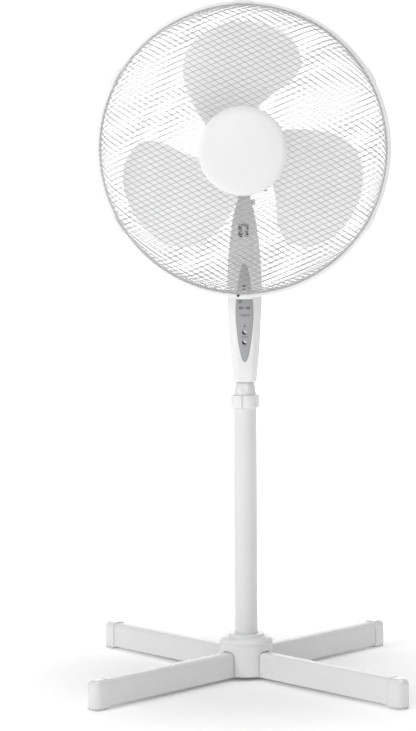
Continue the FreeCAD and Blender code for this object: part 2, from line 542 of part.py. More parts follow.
def guard_shell(prof, t):
    """Closed shell of revolution along a smooth profile of (radius, u)."""
    n = len(prof)
    a, b = [], []
    for i in range(n):
        p, q = prof[max(i - 1, 0)], prof[min(i + 1, n - 1)]
        dr, du = q[0] - p[0], q[1] - p[1]
        L = math.hypot(dr, du)
        nx, nu = -du / L * t / 2, dr / L * t / 2
        if i in (0, n - 1):
            nx, nu = (t / 2 if i == 0 else 0.0), (0.0 if i == 0 else t / 2 * (1 if nu > 0 else -1))
            if i == 0 and dr < 0 and (-du / L) < 0:
                nx = -nx
        a.append(V(0, Y(prof[i][1] + nu), HEAD_Z + prof[i][0] + nx))
        b.append(V(0, Y(prof[i][1] - nu), HEAD_Z + prof[i][0] - nx))
    ca, cb = Part.BSplineCurve(), Part.BSplineCurve()
    ca.interpolate(a)
    cb.interpolate(b)
    w = Part.Wire([ca.toShape(), Part.makeLine(a[-1], b[-1]), cb.toShape(), Part.makeLine(b[0], a[0])])
    return Part.Face(w).revolve(HC, YA, 360)


FRONT = [(214.4, 8.2), (214.0, 14.0), (211.4, 22.5), (206.0, 30.5), (197.0, 37.0), (182.0, 42.6), (155.0, 48.0), (120.0, 52.2), (90.0, 54.3), (74.0, 54.85), (64.0, 55.0), (57.0, 55.0)]
REAR = [(214.4, -8.2), (214.0, -16.0), (211.0, -27.0), (204.6, -37.5), (194.0, -45.5), (178.0, -52.5), (152.0, -60.5), (120.0, -68.0), (92.0, -73.0), (76.0, -74.5), (64.0, -75.0), (54.0, -75.0)]
GT = 0.4
put("front_guard", guard_shell(FRONT, GT), True)
put("rear_guard", guard_shell(REAR, GT), True)


def hoop(u0, u1):
    h = rev_head([(RIM_R - 8.5, Y(u0)), (RIM_R, Y(u0)), (RIM_R, Y(u1)), (RIM_R - 8.5, Y(u1))])
    far = Y(u1)
    return h.makeFillet(2.6, [e for e in h.Edges if len(e.Vertexes) <= 2 and abs(e.CenterOfMass.y - far) < 0.01 and e.Length > 500])


SC_R, SC_A = RIM_R - 3.2, math.degrees(math.atan2(-1, 0)) - math.degrees(8.6 / RIM_R)
sx, sz = at(SC_R, SC_A)
fh = hoop(0.1, 8.2).cut(cyl(1.7, 60, (sx, Y(30), sz), YA))
rh = hoop(-0.1, -8.2).cut(cyl(1.7, 60, (sx, Y(30), sz), YA))
put("front_rim", fh, True)
put("rear_rim", rh, True)

clip_full = rev_head([(RIM_R - 4.6, Y(10.2)), (RIM_R + 2.0, Y(10.2)), (RIM_R + 2.0, Y(-10.2)), (RIM_R - 4.6, Y(-10.2)),
                      (RIM_R - 4.6, Y(-8.35)), (RIM_R + 0.1, Y(-8.35)), (RIM_R + 0.1, Y(8.35)), (RIM_R - 4.6, Y(8.35))])
clips = []
hwid = math.degrees(13.0 / RIM_R)
for k in range(6):
    a = 90 + 60 * k
    r = 300
    p = [V(0, Y(40), HEAD_Z)] + [V(r * math.cos(math.radians(a + s * hwid)), Y(40), HEAD_Z + r * math.sin(math.radians(a + s * hwid))) for s in (-1, 1)]
    wd = Part.Face(Part.makePolygon(p + p[:1])).extrude(V(0, 80, 0))
    c = clip_full.common(wd)
    if k == 3:
        c = c.cut(cyl(1.7, 60, (sx, Y(30), sz), YA))
    clips.append(one(c))
put("rim_clips", group(clips), True)
rs = cyl(1.5, 26.0, (sx, Y(10.2), sz), YA).fuse(cyl(2.9, 1.8, (sx, Y(12.0), sz), YA))
rs = rs.cut(box(sx - 2.0, sx + 2.0, Y(12.1), Y(11.3), sz - 0.35, sz + 0.35))
put("rim_screw", one(rs), True)
hxr = Part.Face(Part.makePolygon([V(sx + 3.1 * math.cos(math.radians(60 * i)), Y(-10.2), sz + 3.1 * math.sin(math.radians(60 * i))) for i in range(7)]))
put("rim_nut", hxr.extrude(V(0, 2.4, 0)).cut(cyl(1.6, 60, (sx, Y(30), sz), YA)), True)

plate_y = Y(-75.5)
rp = rev_head([(18.3, plate_y), (60.0, plate_y), (60.0, plate_y + 2.0), (18.3, plate_y + 2.0)])
for i in range(4):
    x, z = at(28, 45 + 90 * i)
for i in range(12):
    x, z = at(46, 30 * i)
    rp = rp.cut(cyl(4.0, 20, (x, plate_y - 5, z), YA))
put("rear_guard_plate", one(rp), True)
rn = rev_head([(18.1, plate_y - 10.0), (27.0, plate_y - 10.0), (31.0, plate_y - 2.5), (31.0, plate_y), (18.1, plate_y)])
for s in along(10, 36, cyl(2.2, 14, (31.2, plate_y - 12, HEAD_Z), YA), HC, YA):
    rn = rn.cut(s)
put("guard_ring_nut", one(rn), True)

# medallion: shallow dome over a clamp plate, the mesh held between them
dome = [(0, 62.0), (20, 61.6), (40, 60.2), (55, 58.2), (62, 56.9), (64.4, 56.2), (CAP_R, 56.0), (CAP_R, 55.45), (63.0, 55.45), (61.0, 55.45), (60.6, 55.8), (54, 56.4), (40, 58.2), (20, 59.6), (0, 60.0)]
capf = rev_head([(r, Y(u)) for r, u in dome])
CS = [at(38, a) for a in (90, 210, 330)]
for x, z in CS:
    capf = capf.fuse(cyl(3.4, 4.6, (x, Y(59.3), z), YA))
for x, z in CS:
    capf = capf.cut(cyl(1.55, 4.0, (x, Y(58.5), z), YA).fuse(cyl(1.55, 5, (x, Y(58.5), z), YA)))
put("front_medallion", one(capf), True)
cpl = rev_head([(0, Y(54.7)), (62.0, Y(54.7)), (62.0, Y(53.3)), (0, Y(53.3))])
for x, z in CS:
    cpl = cpl.cut(cyl(1.6, 20, (x, Y(60), z), YA))
put("medallion_plate", one(cpl), True)
cs = []
for x, z in CS:
    cs.append(one(cyl(1.45, 5.0, (x, Y(58.3), z), YA).fuse(cyl(2.8, 1.8, (x, Y(53.3), z), YA))))
put("medallion_screws", group(cs), True)

# ------------------------------------------------------------------ rotor
sh = cyl(4.0, 31.0 + 140.0, (0, -140.0, HEAD_Z), YA).cut(cyl(1.55, 20, (-10, -73.5, HEAD_Z), XA))
put("motor_shaft", one(sh), True)
rc = rev_head([(4.03, -16.0), (22.0, -16.0), (22.0, 8.0), (4.03, 8.0)])
put("rotor_core", rc, True)
put("drive_pin", cyl(1.5, 18.0, (-9, -73.5, HEAD_Z), XA), True)

# blade: angles (degrees, front view) of its two edges against radius, and how far each edge stands from the rotor plane
EDGE_T = [(34, 34), (70, 25), (100, 17.5), (130, 11.5), (152, 6.0), (168, 0.0), (180, -8.0), (187, -15.0), (BLADE_R, -24.0)]
EDGE_L = [(34, -38), (70, -50.5), (100, -60), (130, -66), (152, -65.5), (168, -60.5), (180, -54.0), (187, -48.5), (BLADE_R, -41.0)]
ROT_Y = -98.0


def interp(tab, x):
    for (x0, y0), (x1, y1) in zip(tab, tab[1:]):
        if x <= x1:
            return y0 + (y1 - y0) * (x - x0) / (x1 - x0)
    return tab[-1][1]


def blade_pt(r, v, side):
    """v = 0 at the trailing, front edge; 1 at the leading, rear edge."""
    a = math.radians(interp(EDGE_T, r) + v * (interp(EDGE_L, r) - interp(EDGE_T, r)))
    depth = interp([(34, 40), (100, 48), (150, 40), (BLADE_R, 16)], r)
    camber = interp([(34, 3), (100, 8), (150, 8), (BLADE_R, 3)], r)
    y = ROT_Y + depth * (v - 0.5) + camber * 4 * v * (1 - v) * -1.0 + side * 0.9
    return V(r * math.cos(a), y, HEAD_Z + r * math.sin(a))


RS = [34, 55, 80, 105, 130, 150, 165, 177, 185, BLADE_R]
VS = [0, 0.125, 0.25, 0.375, 0.5, 0.625, 0.75, 0.875, 1.0]


def blade():
    s = []
    for side in (-1, 1):
        g = Part.BSplineSurface()
        g.interpolate([[blade_pt(r, v, side) for v in VS] for r in RS])
        s.append(g)
    fs = [g.toShape() for g in s]
    for iso in ("u0", "u1", "v0", "v1"):
        es = []
        for g in s:
            u0, u1, v0, v1 = g.bounds()
            c = g.uIso(u0 if iso == "u0" else u1) if iso[0] == "u" else g.vIso(v0 if iso == "v0" else v1)
            es.append(c.toShape())
        fs.append(Part.makeRuledSurface(es[0], es[1]))
    sh = Part.makeShell(fs)
    sh.sewShape()
    so = Part.Solid(sh)
    if so.Volume < 0:
        so.reverse()
    return so


hub = rev_head([(4.05, -124.0), (10.0, -124.0), (11.0, -119.0), (30.0, -119.0), (37.0, -115.0), (38.0, -110.0), (38.0, -78.0), (35.6, -78.0), (35.6, -110.0),
                (34.0, -114.0), (11.0, -116.2), (10.0, -110.0), (10.0, -72.0), (4.05, -72.0)])
for i in range(6):
    rib = box(9.0, 36.4, -0.8, 0.8, 0, 1)
    rib = Part.makeBox(27.0, 26.0, 1.8, V(9.2, -115.6, HEAD_Z - 0.9))
    rib.rotate(HC, YA, 60 * i + 10)
    hub = hub.fuse(rib)
hub = hub.cut(cyl(1.7, 24, (-12, -73.5, HEAD_Z), XA)).cut(box(-12, 12, -73.5, -71.0, HEAD_Z - 1.7, HEAD_Z + 1.7))
b0 = blade()
inner_cut = cyl(36.5, 80, (0, -140, HEAD_Z), YA)
fan = hub
for i in range(3):
    b = b0.cut(inner_cut) if i == 0 else b1
    b1 = b
    q = b.copy()
    q.rotate(HC, YA, -120 * i)
    fan = fan.fuse(q)
put("fan_blade", one(fan), True)
sn = rev_head([(0, -146.0), (9.0, -145.4), (13.0, -142.5), (14.5, -138.0), (15.0, -126.5), (15.0, -124.0), (4.1, -124.0), (4.1, -141.0), (0, -141.0)])
for s in along(6, 60, cyl(2.4, 40, (16.2, -160, HEAD_Z), YA), HC, YA):
    sn = sn.cut(s)
put("blade_nut", one(sn), True)

print(len(names), "nodes")
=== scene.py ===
import json
import math
import bpy
import bmesh
from mathutils import Vector, Matrix


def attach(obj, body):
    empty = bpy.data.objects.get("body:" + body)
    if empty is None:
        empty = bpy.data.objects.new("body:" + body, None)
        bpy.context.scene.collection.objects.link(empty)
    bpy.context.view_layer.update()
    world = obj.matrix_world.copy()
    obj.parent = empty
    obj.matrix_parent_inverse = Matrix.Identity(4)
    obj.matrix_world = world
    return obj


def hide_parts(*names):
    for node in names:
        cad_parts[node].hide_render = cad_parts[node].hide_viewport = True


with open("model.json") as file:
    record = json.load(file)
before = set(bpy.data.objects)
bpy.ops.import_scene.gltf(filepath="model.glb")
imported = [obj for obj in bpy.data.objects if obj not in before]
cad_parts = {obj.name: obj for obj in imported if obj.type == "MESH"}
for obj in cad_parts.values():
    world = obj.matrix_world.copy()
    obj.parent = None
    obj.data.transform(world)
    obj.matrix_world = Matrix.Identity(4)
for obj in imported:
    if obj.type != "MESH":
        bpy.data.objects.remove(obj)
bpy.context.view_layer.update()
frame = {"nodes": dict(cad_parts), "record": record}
MM = 0.001

# ------------------------------------------------------------------ shared sizes (mm, row frame)
TILT_Z, TILT_REST = 742.0, 4.0
UP = 4.5              # the pole and all it carries stand this much above their drawing heights
BASE_TURN = 1.3       # the cross base stands this many degrees round from square to the head
HEAD_Z, RING_Y, RIM_R = 825.5, -113.5, 221.0
_t = math.radians(TILT_REST)
# local head space: x, y, z in mm with the motor axis level along y at z = HEAD_Z
HEADM = (Matrix.Scale(MM, 4) @ Matrix.Translation((0, 0, UP + TILT_Z)) @ Matrix.Rotation(_t, 4, "X") @ Matrix.Translation((0, 0, -TILT_Z)))
BASEM = Matrix.Scale(MM, 4) @ Matrix.Rotation(math.radians(BASE_TURN), 4, "Z")
ROWM = Matrix.Scale(MM, 4) @ Matrix.Translation((0, 0, UP))


# ------------------------------------------------------------------ mesh helpers
def finish_mesh(name, verts, faces, M=ROWM, smooth=True, sharp=35.0, merge=None, recalc=True):
    me = bpy.data.meshes.new(name)
    me.from_pydata([M @ Vector(v) for v in verts], [], faces)
    me.validate()
    bm = bmesh.new()
    bm.from_mesh(me)
    if merge:
        bmesh.ops.remove_doubles(bm, verts=bm.verts, dist=merge * MM)
        bmesh.ops.dissolve_degenerate(bm, dist=merge * MM * 0.5, edges=bm.edges)
    if recalc:
        bmesh.ops.recalc_face_normals(bm, faces=bm.faces)
    bm.to_mesh(me)
    bm.free()
    o = bpy.data.objects.new(name, me)
    bpy.context.scene.collection.objects.link(o)
    if smooth:
        shade(o, sharp)
    return o


def shade(o, sharp=35.0):
    me = o.data
    for p in me.polygons:
        p.use_smooth = True
    if sharp is not None:
        me.set_sharp_from_angle(angle=math.radians(sharp))
    me.update()


def apply_mods(o):
    dg = bpy.context.evaluated_depsgraph_get()
    ev = o.evaluated_get(dg)
    me = bpy.data.meshes.new_from_object(ev)
    old = o.data
    o.modifiers.clear()
    o.data = me
    bpy.data.meshes.remove(old)
    return o


def boolean(o, cutters, op="DIFFERENCE", sharp=35.0):
    for c in cutters:
        m = o.modifiers.new("b", "BOOLEAN")
        m.object = c
        m.operation = op
        m.solver = "EXACT"
    apply_mods(o)
    for c in cutters:
        me = c.data
        bpy.data.objects.remove(c)
        bpy.data.meshes.remove(me)
    shade(o, sharp)
    return o


def bevel(o, width_mm, segments=2, angle=35.0, sharp=35.0):
    m = o.modifiers.new("v", "BEVEL")
    m.width = width_mm * MM
    m.segments = segments
    m.limit_method = "ANGLE"
    m.angle_limit = math.radians(angle)
    m.use_clamp_overlap = True
    m.harden_normals = False
    apply_mods(o)
    shade(o, sharp)
    return o


def lathe(name, prof, n=96, axis="Z", M=ROWM, mod=None, closed=True, sharp=35.0):
    """Closed profile of (radius, height) turned about the axis. mod(r, h, angle) may change the radius."""
    verts, faces = [], []
    k = len(prof)
    for i in range(n):
        a = 2 * math.pi * i / n
        for r, h in prof:
            rr = mod(r, h, a) if mod else r
            c, s = rr * math.cos(a), rr * math.sin(a)
            verts.append((c, s, h) if axis == "Z" else (c, h, HEAD_Z + s))
    for i in range(n):
        j = (i + 1) % n
        for q in range(k if closed else k - 1):
            w = (q + 1) % k
            faces.append((i * k + q, j * k + q, j * k + w, i * k + w))
    return finish_mesh(name, verts, faces, M, merge=0.004, sharp=sharp)


def arc(cx, cy, r, a0, a1, n):
    return [(cx + r * math.cos(math.radians(a0 + (a1 - a0) * i / n)), cy + r * math.sin(math.radians(a0 + (a1 - a0) * i / n))) for i in range(n + 1)]


def rounded_poly(pts, radii, n=5):
    """Closed polygon with each corner replaced by an arc of its radius."""
    out = []
    m = len(pts)
    for i in range(m):
        p0, p, p1 = Vector(pts[i - 1]), Vector(pts[i]), Vector(pts[(i + 1) % m])
        r = radii[i] if isinstance(radii, (list, tuple)) else radii
        a, b = (p0 - p), (p1 - p)
        la, lb = a.length, b.length
        if r <= 0 or la < 1e-6 or lb < 1e-6:
            out.append(tuple(p))
            continue
        a, b = a / la, b / lb
        ang = math.acos(max(-1, min(1, a.dot(b))))
        if ang > math.radians(178):
            out.append(tuple(p))
            continue
        d = min(r / math.tan(ang / 2), la * 0.48, lb * 0.48)
        rr = d * math.tan(ang / 2)
        c = p + (a + b).normalized() * (rr / math.sin(ang / 2))
        s, e = p + a * d, p + b * d
        va, ve = s - c, e - c
        t0 = math.atan2(va.y, va.x)
        dt = math.atan2(va.x * ve.y - va.y * ve.x, va.dot(ve))
        for q in range(n + 1):
            t = t0 + dt * q / n
            out.append((c.x + rr * math.cos(t), c.y + rr * math.sin(t)))
    return out


def loft(name, rings, M=ROWM, caps=(True, True), closed_ring=True, sharp=35.0, merge=0.004):
    """Skin over rings of equal length (lists of 3-D points)."""
    verts, faces = [], []
    k = len(rings[0])
    for r in rings:
        verts += [tuple(p) for p in r]
    for i in range(len(rings) - 1):
        for q in range(k if closed_ring else k - 1):
            w = (q + 1) % k
            faces.append((i * k + q, i * k + w, (i + 1) * k + w, (i + 1) * k + q))
    if caps[0]:
        faces.append(tuple(range(k))[::-1])
    if caps[1]:
        b = (len(rings) - 1) * k
        faces.append(tuple(range(b, b + k)))
    return finish_mesh(name, verts, faces, M, sharp=sharp, merge=merge)


def prism(name, outline, a0, a1, plane="XZ", M=ROWM):
    """Outline (u, v) extruded along the third axis from a0 to a1."""
    def P(u, v, w):
        return {"XZ": (u, w, v), "XY": (u, v, w), "YZ": (w, u, v)}[plane]
    return loft(name, [[P(u, v, a0) for u, v in outline], [P(u, v, a1) for u, v in outline]], M)


def join(name, objs):
    bm = bmesh.new()
    for o in objs:
        bm.from_mesh(o.data)
    me = bpy.data.meshes.new(name)
    bm.to_mesh(me)
    bm.free()
    for o in objs:
        d = o.data
        bpy.data.objects.remove(o)
        bpy.data.meshes.remove(d)
    o = bpy.data.objects.new(name, me)
    bpy.context.scene.collection.objects.link(o)
    shade(o)
    return o


def mono(tab, x):
    """Monotone cubic through a table of (x, y)."""
    n = len(tab)
    xs = [t[0] for t in tab]
    ys = [t[1] for t in tab]
    if x <= xs[0]:
        return ys[0]
    if x >= xs[-1]:
        return ys[-1]
    d = [(ys[i + 1] - ys[i]) / (xs[i + 1] - xs[i]) for i in range(n - 1)]
    m = [d[0]] + [0 if d[i - 1] * d[i] <= 0 else 2 * d[i - 1] * d[i] / (d[i - 1] + d[i]) for i in range(1, n - 1)] + [d[-1]]
    i = max(j for j in range(n - 1) if xs[j] <= x)
    h = xs[i + 1] - xs[i]
    t = (x - xs[i]) / h
    return ((2 * t ** 3 - 3 * t ** 2 + 1) * ys[i] + (t ** 3 - 2 * t ** 2 + t) * h * m[i] + (-2 * t ** 3 + 3 * t ** 2) * ys[i + 1] + (t ** 3 - t ** 2) * h * m[i + 1])


# ------------------------------------------------------------------ materials
def new_mat(name):
    m = bpy.data.materials.new(name)
    m.use_nodes = True
    nt = m.node_tree
    nt.nodes.clear()
    out = nt.nodes.new("ShaderNodeOutputMaterial")
    b = nt.nodes.new("ShaderNodeBsdfPrincipled")
    nt.links.new(b.outputs[0], out.inputs[0])
    return m, nt, b


def ramp(nt, src, c0, c1, p0=0.0, p1=1.0):
    r = nt.nodes.new("ShaderNodeValToRGB")
    r.color_ramp.elements[0].position = p0
    r.color_ramp.elements[1].position = p1
    r.color_ramp.elements[0].color = (*c0, 1)
    r.color_ramp.elements[1].color = (*c1, 1)
    nt.links.new(src, r.inputs[0])
    return r.outputs[0]


def noise(nt, scale, detail=3.0, rough=0.55, vec=None, dist=0.0):
    n = nt.nodes.new("ShaderNodeTexNoise")
    n.inputs["Scale"].default_value = scale
    n.inputs["Detail"].default_value = detail
    n.inputs["Roughness"].default_value = rough
    n.inputs["Distortion"].default_value = dist
    if vec is None:
        tc = nt.nodes.new("ShaderNodeTexCoord")
        vec = tc.outputs["Object"]
    nt.links.new(vec, n.inputs["Vector"])
    return n.outputs["Fac"]


def stretched(nt, sx, sy, sz):
    tc = nt.nodes.new("ShaderNodeTexCoord")
    mp = nt.nodes.new("ShaderNodeMapping")
    mp.inputs["Scale"].default_value = (sx, sy, sz)
    nt.links.new(tc.outputs["Object"], mp.inputs["Vector"])
    return mp.outputs[0]


def maprange(nt, src, a, b):
    m = nt.nodes.new("ShaderNodeMapRange")
    m.inputs["To Min"].default_value = a
    m.inputs["To Max"].default_value = b
    nt.links.new(src, m.inputs["Value"])
    return m.outputs[0]


def bump(nt, b, src, strength, dist_mm, chain=None):
    n = nt.nodes.new("ShaderNodeBump")
    n.inputs["Strength"].default_value = strength
    n.inputs["Distance"].default_value = dist_mm * MM
    nt.links.new(src, n.inputs["Height"])
    if chain is not None:
        nt.links.new(chain, n.inputs["Normal"])
    nt.links.new(n.outputs[0], b.inputs["Normal"])
    return n.outputs[0]


def plastic(name, col, var=0.02, rough=(0.28, 0.36), grain=1400.0, grain_mm=0.02, ior=1.47, coat=0.0, tint=None, broad=9.0, through=0.0):
    m, nt, b = new_mat(name)
    c0 = tuple(max(0, c - var) for c in (tint or col))
    c1 = tuple(min(1, c + var * 0.5) for c in col)
    broad_n = noise(nt, broad, 4.0)
    nt.links.new(ramp(nt, broad_n, c0, c1, 0.3, 0.7), b.inputs["Base Color"])
    fine = noise(nt, grain, 2.0)
    nt.links.new(maprange(nt, noise(nt, 60.0, 5.0, 0.6), rough[0], rough[1]), b.inputs["Roughness"])
    bump(nt, b, fine, 0.25, grain_mm)
    b.inputs["IOR"].default_value = ior
    b.inputs["Coat Weight"].default_value = coat
    b.inputs["Coat Roughness"].default_value = 0.12
    if through:                               # thin wall that lets some light pass (translucent mix), plus a painted glow
        # painted glow: a fixed white emission that brightens the blades though they are no lamp
        b.inputs["Emission Color"].default_value = (1, 1, 1, 1)
        b.inputs["Emission Strength"].default_value = 0.14
        t = nt.nodes.new("ShaderNodeBsdfTranslucent")
        nt.links.new(ramp(nt, broad_n, c0, c1, 0.3, 0.7), t.inputs["Color"])
        mx = nt.nodes.new("ShaderNodeMixShader")
        mx.inputs[0].default_value = through
        out = next(n for n in nt.nodes if n.type == "OUTPUT_MATERIAL")
        nt.links.new(b.outputs[0], mx.inputs[1])
        nt.links.new(t.outputs[0], mx.inputs[2])
        nt.links.new(mx.outputs[0], out.inputs[0])
    return m


def powder(name, col, var=0.015, rough=(0.22, 0.30), peel=420.0):
    m, nt, b = new_mat(name)
    n = noise(nt, 7.0, 4.0)
    nt.links.new(ramp(nt, n, tuple(c - var for c in col), tuple(min(1, c + var) for c in col), 0.3, 0.7), b.inputs["Base Color"])
    nt.links.new(maprange(nt, noise(nt, 35.0, 5.0, 0.6), rough[0], rough[1]), b.inputs["Roughness"])
    p = bump(nt, b, noise(nt, peel, 2.0, 0.45), 0.30, 0.05)
    bump(nt, b, noise(nt, 2600.0, 1.0), 0.12, 0.015, p)
    b.inputs["IOR"].default_value = 1.5
    return m


def metal(name, col, rough=(0.2, 0.32), brush=None, var=0.03, bump_mm=0.01):
    m, nt, b = new_mat(name)
    vec = stretched(nt, *brush) if brush else None
    n = noise(nt, 60.0 if brush else 40.0, 5.0, 0.6, vec)
    nt.links.new(ramp(nt, n, tuple(max(0, c - var) for c in col), tuple(min(1, c + var) for c in col), 0.3, 0.7), b.inputs["Base Color"])
    nt.links.new(maprange(nt, n, rough[0], rough[1]), b.inputs["Roughness"])
    bump(nt, b, noise(nt, 900.0, 3.0, 0.6, vec), 0.2, bump_mm)
    b.inputs["Metallic"].default_value = 1.0
    return m


def rubber(name, col):
    m, nt, b = new_mat(name)
    n = noise(nt, 120.0, 5.0, 0.7)
    nt.links.new(ramp(nt, n, tuple(c * 0.8 for c in col), tuple(min(1, c * 1.35) for c in col), 0.3, 0.75), b.inputs["Base Color"])
    nt.links.new(maprange(nt, n, 0.65, 0.85), b.inputs["Roughness"])
    bump(nt, b, noise(nt, 1500.0, 3.0), 0.4, 0.04)
    return m


WHITE = (0.80, 0.80, 0.805)
M = {}
M["white_plastic"] = plastic("white_plastic", (0.81, 0.81, 0.815), rough=(0.20, 0.27), coat=0.2)
M["housing_plastic"] = plastic("housing_plastic", (0.82, 0.82, 0.825), rough=(0.27, 0.30), coat=0.12)
M["cap_plastic"] = plastic("cap_plastic", (0.78, 0.78, 0.785), rough=(0.16, 0.22), grain=900.0, grain_mm=0.01, coat=0.4)
M["rim_plastic"] = plastic("rim_plastic", (0.90, 0.90, 0.905), rough=(0.34, 0.42))
M["medallion_plastic"] = plastic("medallion_plastic", (0.80, 0.80, 0.805), var=0.012, rough=(0.30, 0.36), grain=1000.0)
M["blade_plastic"] = plastic("blade_plastic", (0.93, 0.93, 0.935), rough=(0.30, 0.40), broad=14.0, through=0.4)
M["inner_plastic"] = plastic("inner_plastic", (0.50, 0.50, 0.50), var=0.03, rough=(0.45, 0.6))
M["painted_steel_white"] = powder("painted_steel_white", (0.765, 0.765, 0.77))
# painted shade: the white-coated wire is given a mid grey so the thin wires read darker against the bright ground
M["guard_wire"] = powder("guard_wire", (0.49, 0.49, 0.495), rough=(0.36, 0.46))
M["rubber_pad"] = rubber("rubber_pad", (0.58, 0.58, 0.585))
M["zinc_steel"] = metal("zinc_steel", (0.62, 0.62, 0.60), (0.28, 0.42))
M["plain_steel"] = metal("plain_steel", (0.50, 0.50, 0.51), (0.46, 0.6), brush=(3.0, 3.0, 60.0))
M["dark_steel"] = metal("dark_steel", (0.09, 0.09, 0.095), (0.35, 0.5))
M["chrome_tube"] = metal("chrome_tube", (0.74, 0.74, 0.75), (0.08, 0.14), brush=(40.0, 40.0, 2.0), var=0.01)
M["cast_aluminium"] = metal("cast_aluminium", (0.58, 0.58, 0.58), (0.42, 0.58), var=0.05, bump_mm=0.05)
M["stator_steel"] = metal("stator_steel", (0.28, 0.28, 0.30), (0.4, 0.55), brush=(2.0, 200.0, 2.0), var=0.06, bump_mm=0.05)
M["copper_winding"] = metal("copper_winding", (0.55, 0.22, 0.08), (0.25, 0.4), brush=(6.0, 160.0, 6.0), var=0.1, bump_mm=0.08)
M["bronze"] = metal("bronze", (0.58, 0.40, 0.20), (0.35, 0.5), var=0.05)
M["circuit_board"] = plastic("circuit_board", (0.03, 0.17, 0.07), var=0.02, rough=(0.3, 0.45))
M["gear_acetal"] = plastic("gear_acetal", (0.78, 0.77, 0.72), rough=(0.38, 0.5))
M["dark_lens"] = plastic("dark_lens", (0.03, 0.012, 0.012), var=0.006, rough=(0.08, 0.14), coat=0.5)
M["print_dark"] = plastic("print_dark", (0.06, 0.06, 0.065), var=0.015, rough=(0.5, 0.6))


def panel_mat():
    m, nt, b = new_mat("panel_grey")
    sp = noise(nt, 2600.0, 2.0, 0.7)
    br = noise(nt, 40.0, 4.0, 0.55, stretched(nt, 60.0, 6.0, 2.0))
    mx = nt.nodes.new("ShaderNodeMath")
    mx.operation = "MULTIPLY_ADD"
    nt.links.new(sp, mx.inputs[0])
    mx.inputs[1].default_value = 0.6
    nt.links.new(maprange(nt, br, 0.0, 0.4), mx.inputs[2])
    nt.links.new(ramp(nt, mx.outputs[0], (0.30, 0.30, 0.31), (0.42, 0.42, 0.43), 0.2, 0.8), b.inputs["Base Color"])
    nt.links.new(maprange(nt, sp, 0.30, 0.46), b.inputs["Roughness"])
    b.inputs["Metallic"].default_value = 0.35
    bump(nt, b, sp, 0.2, 0.01)
    return m


def lens_mat():
    m, nt, b = new_mat("led_lens")
    n = noise(nt, 300.0, 3.0)
    nt.links.new(ramp(nt, n, (0.20, 0.22, 0.21), (0.34, 0.37, 0.35), 0.3, 0.7), b.inputs["Base Color"])
    nt.links.new(maprange(nt, n, 0.05, 0.16), b.inputs["Roughness"])
    b.inputs["Coat Weight"].default_value = 0.6
    bump(nt, b, n, 0.1, 0.01)
    return m


def key_mat_painted_reflection():
    """Plated key face with a painted reflection: painted shade towards the lower left, painted highlight towards the
    upper right.
    """
    m, nt, b = new_mat("button_chrome")
    tc = nt.nodes.new("ShaderNodeTexCoord")
    sp = nt.nodes.new("ShaderNodeSeparateXYZ")
    nt.links.new(tc.outputs["Generated"], sp.inputs[0])
    ad = nt.nodes.new("ShaderNodeMath")
    ad.operation = "ADD"
    nt.links.new(sp.outputs["X"], ad.inputs[0])
    nt.links.new(sp.outputs["Z"], ad.inputs[1])
    w = nt.nodes.new("ShaderNodeMath")
    w.operation = "MULTIPLY_ADD"
    nt.links.new(noise(nt, 500.0, 3.0), w.inputs[0])
    w.inputs[1].default_value = 0.08
    nt.links.new(ad.outputs[0], w.inputs[2])
    hf_ = nt.nodes.new("ShaderNodeMath")
    hf_.operation = "MULTIPLY"
    nt.links.new(w.outputs[0], hf_.inputs[0])
    hf_.inputs[1].default_value = 0.5
    # painted reflection: the key face goes from dark at the lower left to bright at the upper right
    nt.links.new(ramp(nt, hf_.outputs[0], (0.03, 0.03, 0.035), (0.93, 0.93, 0.94), 0.46, 0.62), b.inputs["Base Color"])
    nt.links.new(maprange(nt, noise(nt, 40.0, 5.0, 0.6), 0.12, 0.22), b.inputs["Roughness"])
    b.inputs["Metallic"].default_value = 0.6
    return m


M["button_chrome"] = key_mat_painted_reflection()
M["panel_grey"] = panel_mat()
M["led_lens"] = lens_mat()


def paint(o, mat):
    o.data.materials.clear()
    o.data.materials.append(M[mat])
    return o


def piece(o, body, slot, *nodes):
    paint(o, slot) if slot in M else None
    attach(o, body)
    if nodes:
        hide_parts(*nodes)
    return o


# every CAD node starts with the procedural material of its own slot
SLOTS = {s["node"]: s["material_slot"] for s in frame["record"]["subparts"]}
for n, o in frame["nodes"].items():
    mat = M.get(SLOTS[n])
    if mat is None:
        raise SystemExit("no material for slot " + SLOTS[n])
    if len(o.material_slots) == 0:
        o.data.materials.append(mat)
    for s in o.material_slots:
        s.material = mat

# ------------------------------------------------------------------ guard
FRONT = [(57.0, 55.0), (64.0, 55.0), (74.0, 54.85), (90.0, 54.3), (120.0, 52.2), (155.0, 48.0), (182.0, 42.6), (197.0, 37.0), (206.0, 30.5), (211.4, 22.5), (214.0, 14.0), (214.4, 7.0)]
REAR = [(54.0, -75.0), (64.0, -75.0), (76.0, -74.5), (92.0, -73.0), (120.0, -68.0), (152.0, -60.5), (178.0, -52.5), (194.0, -45.5), (204.6, -37.5), (211.0, -27.0), (214.0, -16.0), (214.4, -7.0)]


